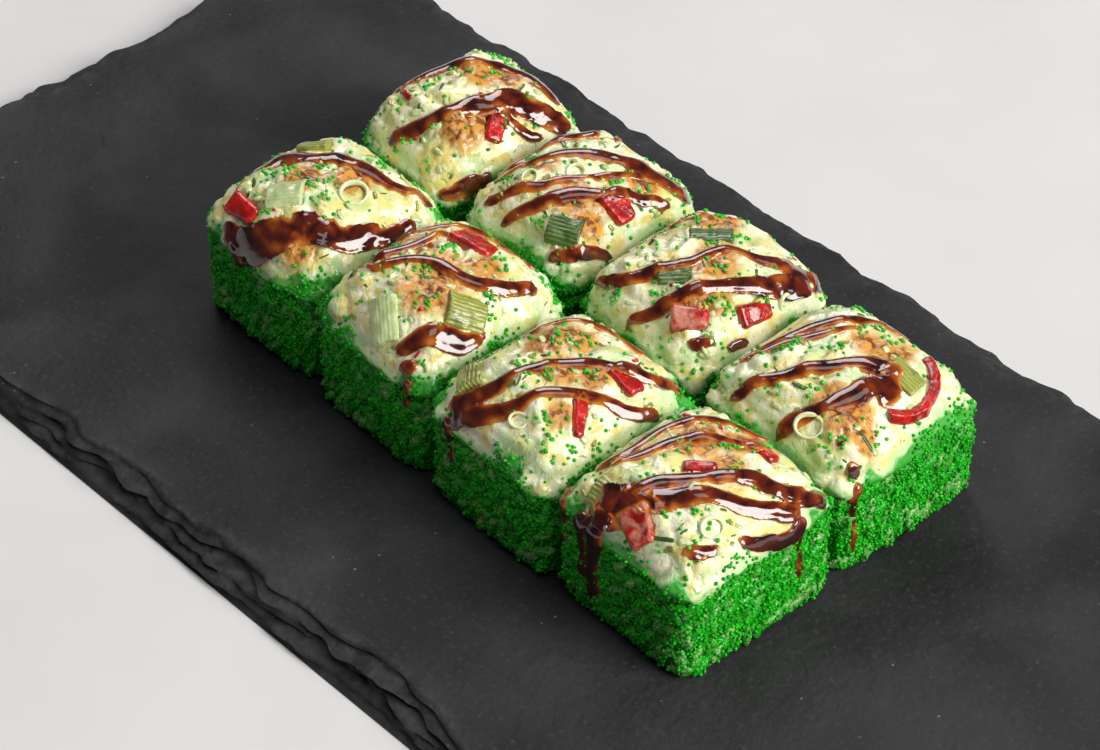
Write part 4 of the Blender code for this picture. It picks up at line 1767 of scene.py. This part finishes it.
@dataclass
class SlateBoard:
    """The slate board: a split top face and knapped, layered edges."""

    slope: float = 5.6 * MM
    slope_swing: float = 2.6 * MM
    step: float = 1.25 * MM
    edge_rings: int = 20
    inner_rings: int = 26
    layers: int = 4
    sharp_deg: float = 50.0
    seed: float = 3.0

    def build(self) -> bpy.types.Object:
        """Builds the slab as nested rings, from the underside's edge in to the middle of the top.

        Returns:
            The slab.
        """
        low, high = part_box("slate_board")
        half = np.array([high.x, high.y])
        around = round(4 * (half[0] + half[1]) / self.step)
        walked = np.arange(around) / around * 4 * (half[0] + half[1])
        outline = self.rectangle(walked, half)
        flat = np.column_stack([outline, np.zeros(around)])
        width = self.slope + self.slope_swing * (
            1.5 * bumps(flat, 21 * MM, self.seed) + 0.8 * bumps(flat, 8 * MM, self.seed + 1)
        )
        width = np.clip(width, 2.4 * MM, 10 * MM)
        rings = [np.column_stack([outline * (1 - 0.0001), np.full(around, low.z)])]
        ridges = [np.zeros(around)]
        for index in range(self.edge_rings + 1):
            share = index / self.edge_rings
            ledge = bumps(flat + [0, 0, share * 52 * MM], 13 * MM, self.seed + 2)
            flake = bumps(flat + [0, 0, share * 30 * MM], 5 * MM, self.seed + 4)
            bulge = math.sin(math.pi * share)
            stair = share + (0.42 * ledge + 0.22 * flake) * bulge
            stair = stair + 0.06 * np.sin(math.tau * self.layers * share)
            inset = np.clip(stair, 0, 1.05) * width
            rough = 0.38 * MM * bumps(flat + [0, 0, share * 14 * MM], 2.1 * MM, self.seed + 3) * (share > 0)
            inset = np.clip(inset + rough * (1 - 0.5 * share), 0, None)
            level = low.z + (high.z - low.z) * share**0.92
            rings.append(np.column_stack([outline * (1 - inset[:, None] / half), np.full(around, level)]))
            ridges.append(np.full(around, math.sin(math.pi * share) ** 0.5 if 0 < share < 1 else share))
        ridges[-1] = np.full(around, 0.9)
        for index in range(1, self.inner_rings + 1):
            share = (index / self.inner_rings) ** 1.35
            inset = width[:, None] + (half - width[:, None]) * share * 0.985
            rings.append(np.column_stack([outline * (1 - inset / half), np.full(around, high.z)]))
            ridges.append(np.full(around, math.exp(-index * 0.9)))
        points = np.concatenate(rings)
        thing = solid_object("slate_slab", points, closed_rings(len(rings), around))
        thing.data.set_sharp_from_angle(angle=math.radians(self.sharp_deg))
        on_top = points[:, 2] > high.z - 0.0001
        sag = 0.16 * MM * bumps(points, 30 * MM, self.seed + 5)
        sag += 0.05 * MM * bumps(points, 6 * MM, self.seed + 6)
        points[on_top, 2] += sag[on_top] - 0.10 * MM
        move_points(thing, points)
        mark(thing, "ridge", np.concatenate(ridges))
        thing.data.materials.append(SlateFinish().material())
        return ride_root(thing, "slate", "slate_board")

    @staticmethod
    def rectangle(walked: np.ndarray, half: np.ndarray) -> np.ndarray:
        """Points on a rectangle's outline.

        Args:
            walked: Distance of each from the corner at the near end and front.
            half: Half the rectangle's length and width.

        Returns:
            One row of x, y a point.
        """
        length, width = 2 * half
        stops = np.array([0, width, width + length, 2 * width + length, 2 * (width + length)])
        x = np.interp(walked, stops, [half[0], half[0], -half[0], -half[0], half[0]])
        y = np.interp(walked, stops, [-half[1], half[1], half[1], -half[1], -half[1]])
        return np.column_stack([x, y])


def direction(azimuth_deg: float, elevation_deg: float) -> Vector:
    """The direction from the serving toward a light or the camera.

    Args:
        azimuth_deg: Angle round the board, 0 at the front and 90 at the near end.
        elevation_deg: Angle above the table.

    Returns:
        The unit vector.
    """
    azimuth, elevation = math.radians(azimuth_deg), math.radians(elevation_deg)
    level = math.cos(elevation)
    return Vector((math.sin(azimuth) * level, -math.cos(azimuth) * level, math.sin(elevation)))


def aimed(name: str, data: bpy.types.ID, place: Vector, away: Vector) -> bpy.types.Object:
    """Puts up a light or a camera that looks back along a direction.

    Args:
        name: Its name.
        data: The light or the camera.
        place: Where it hangs.
        away: The direction from what it looks at.

    Returns:
        The object.
    """
    thing = linked(name, data)
    thing.location = place
    thing.rotation_euler = (-away).to_track_quat("-Z", "Y").to_euler()
    return thing


@dataclass(frozen=True)
class Softbox:
    """A square studio light that looks at the rolls."""

    name: str
    azimuth_deg: float
    elevation_deg: float
    distance: float
    size: float
    power: float
    tint: Colour = (1.0, 1.0, 1.0)

    def build(self, target: Vector) -> None:
        """Hangs the light and aims it at the target.

        Args:
            target: What it is aimed at.
        """
        light = bpy.data.lights.new(self.name, "AREA")
        light.shape = "SQUARE"
        light.size = self.size
        light.energy = self.power
        light.color = self.tint
        away = direction(self.azimuth_deg, self.elevation_deg)
        aimed(self.name, light, target + away * self.distance, away)


@dataclass
class Studio:
    """Pale floor, soft lights and the camera."""

    camera_place: Vector = field(default_factory=lambda: Vector((0.33056, -0.31387, 0.41739)))
    azimuth_deg: float = 46.48
    elevation_deg: float = 41.69
    lens_mm: float = 105.98
    sensor_mm: float = 36.0
    floor_size: float = 6.0
    floor_gap: float = 0.0002
    air: Colour = (0.80, 0.82, 0.85)
    air_strength: float = 0.10

    def floor(self) -> None:
        """Lays the plain pale floor."""
        bm = bmesh.new()
        bmesh.ops.create_grid(bm, x_segments=1, y_segments=1, size=self.floor_size / 2)
        mesh = bpy.data.meshes.new("floor")
        bm.to_mesh(mesh)
        bm.free()
        thing = linked("floor", mesh)
        thing.location.z = -self.floor_gap
        graph = Graph("pale_floor")
        shade = graph.step(graph.noise(0.05, 4.0), 0.2, 0.8)
        graph.set(base_color=graph.blend(shade, (0.60, 0.59, 0.58), (0.64, 0.63, 0.62)), roughness=0.7)
        mesh.materials.append(graph.material)

    def lights(self, target: Vector) -> None:
        """Hangs the lights and fills the air with a soft glow.

        Args:
            target: What they are aimed at.
        """
        boxes = (
            Softbox("key_right", 104.0, 33.0, 1.70, 0.96, 40.0, (1.0, 0.99, 0.96)),
            Softbox("rear_box", 236.0, 44.0, 1.70, 0.84, 13.2, (0.98, 0.96, 1.0)),
            Softbox("overhead", 60.0, 80.0, 1.80, 0.92, 6.0),
        )
        for box in boxes:
            box.build(target)
        world = bpy.data.worlds.new("studio_air")
        bpy.context.scene.world = world
        world.use_nodes = True
        glow = world.node_tree.nodes["Background"]
        glow.inputs["Color"].default_value = (*self.air, 1.0)
        glow.inputs["Strength"].default_value = self.air_strength

    def camera(self) -> None:
        """Sets up the camera that looks down along the rows."""
        camera = bpy.data.cameras.new("camera")
        camera.lens = self.lens_mm
        camera.sensor_width = self.sensor_mm
        camera.clip_start, camera.clip_end = 0.01, 20.0
        away = direction(self.azimuth_deg, self.elevation_deg)
        bpy.context.scene.camera = aimed("camera", camera, self.camera_place, away)

    def build(self) -> None:
        """Builds the studio round the serving."""
        self.floor()
        self.lights(Vector((0.0, 0.0, 0.02)))
        self.camera()
        bpy.context.scene.view_settings.view_transform = "Standard"


@dataclass
class Serving:
    """The eight rolls with everything on them."""

    rolls: tuple[Roll, ...] = ROLLS
    shapes: dict[str, RollShape] = field(init=False)
    finishes: dict[str, bpy.types.Material] = field(init=False)

    def __post_init__(self) -> None:
        """Reads the rolls' shapes and mixes the finishes."""
        self.shapes = {roll.name: RollShape(roll.name, roll.squareness, roll.turn_deg) for roll in self.rolls}
        self.finishes = {
            "core": RiceFinish().material("stained_rice_core", 0.9),
            "grains": RiceFinish().material("stained_rice", 0.35),
            "roe": RoeFinish().material("green_roe"),
            "stray": STRAY_ROE.material("stray_roe"),
            "cream": CreamFinish().material(),
            "pepper": PepperFinish().material("red_pepper_flesh", 0.25),
            "pulpy": PepperFinish(pulp=(0.62, 0.24, 0.16)).material("red_pepper_pulp", 0.76),
            "sauce": SauceFinish().material(),
        }
        self.finishes.update({onion.name: onion.material() for onion in ONIONS})

    def vegetable_finish(self, node: str) -> str:
        """Names the finish of a vegetable piece from its node's name.

        Args:
            node: The node's name.

        Returns:
            The finish's name.
        """
        if "pepper" in node:
            return "pulpy" if node in ("roll_front_4_pepper_1", "roll_back_3_pepper_1") else "pepper"
        if node in ("roll_front_1_onion_1", "roll_front_2_onion_1"):
            return "pale_onion"
        dark = ("roll_back_2_onion_1", "roll_back_3_onion_1", "roll_back_3_onion_2")
        return "dark_onion" if node in dark else "olive_onion"

    def dress_vegetables(self, roll: Roll, seed: int) -> list[bpy.types.Object]:
        """Builds the pepper and onion pieces of a roll.

        Args:
            roll: The roll.
            seed: Seed of their unevenness.

        Returns:
            The pieces.
        """
        made = []
        nodes = sorted(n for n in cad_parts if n.startswith(f"roll_{roll.name}_"))
        for number, node in enumerate(n for n in nodes if "pepper" in n or "onion" in n):
            finish = self.finishes[self.vegetable_finish(node)]
            slot = "red_pepper" if "pepper" in node else "green_onion"
            made.append(VegetablePiece(node, finish, slot, seed + number).build())
        return made

    def dress(self, roll: Roll, number: int, bits: TopBits) -> None:
        """Builds every piece of one roll.

        Args:
            roll: The roll.
            number: Its place in the serving, which seeds what is random.
            bits: Gathers the small pieces on the topping.
        """
        shape = self.shapes[roll.name]
        others = [other for name, other in self.shapes.items() if name != roll.name]
        seed = SEEDS_A_ROLL * number
        rice = RiceBlock(shape, others, seed)
        core, grains = rice.core(), rice.grains()
        topping = BakedTopping(shape, seed, roll.browned)
        cream = topping.build()
        vegetables = self.dress_vegetables(roll, seed + VEGETABLE_SEEDS)
        topping.make_room(cream, bvh_of(vegetables))
        side_roe = rice.roe(bvh_of([core, grains, cream]))
        top = bvh_of([cream])
        bits.strew(shape, top)
        bits.place_sticks(shape, top)
        bits.place_rings(shape, top)
        spots, tilts = topping.roe_places(top)
        rng = np.random.default_rng(seed + STRAY_SEEDS)
        top_roe = rice.beads(f"{roll.name}_stray_roe", spots, tilts, rng, STRAY_SWELL)
        sauce = SauceDrizzle(shape, roll.runs, roll.drips).build(bvh_of([core, cream, *vegetables]))
        dressed = (
            (core, "core", "green_rice", (f"roll_{roll.name}_rice",)),
            (grains, "grains", "green_rice", ()),
            (side_roe, "roe", "green_rice", ()),
            (top_roe, "stray", "green_rice", ()),
            (cream, "cream", "baked_topping", (f"roll_{roll.name}_topping",)),
            (sauce, "sauce", "sauce", ()),
        )
        for thing, finish, slot, nodes in dressed:
            thing.data.materials.append(self.finishes[finish])
            ride_root(thing, slot, *nodes)
            report(thing)

    def build(self) -> None:
        """Builds all the rolls."""
        bits = TopBits(self.finishes)
        for number, roll in enumerate(self.rolls, start=1):
            self.dress(roll, number, bits)
        for thing in bits.build():
            report(thing)


def main() -> None:
    """Builds the board, the rolls and the studio, and reports each piece."""
    logging.basicConfig(level=logging.INFO, format="%(name)s %(message)s")
    report(SlateBoard().build())
    Serving().build()
    Studio().build()


if __name__ == "__main__":
    main()
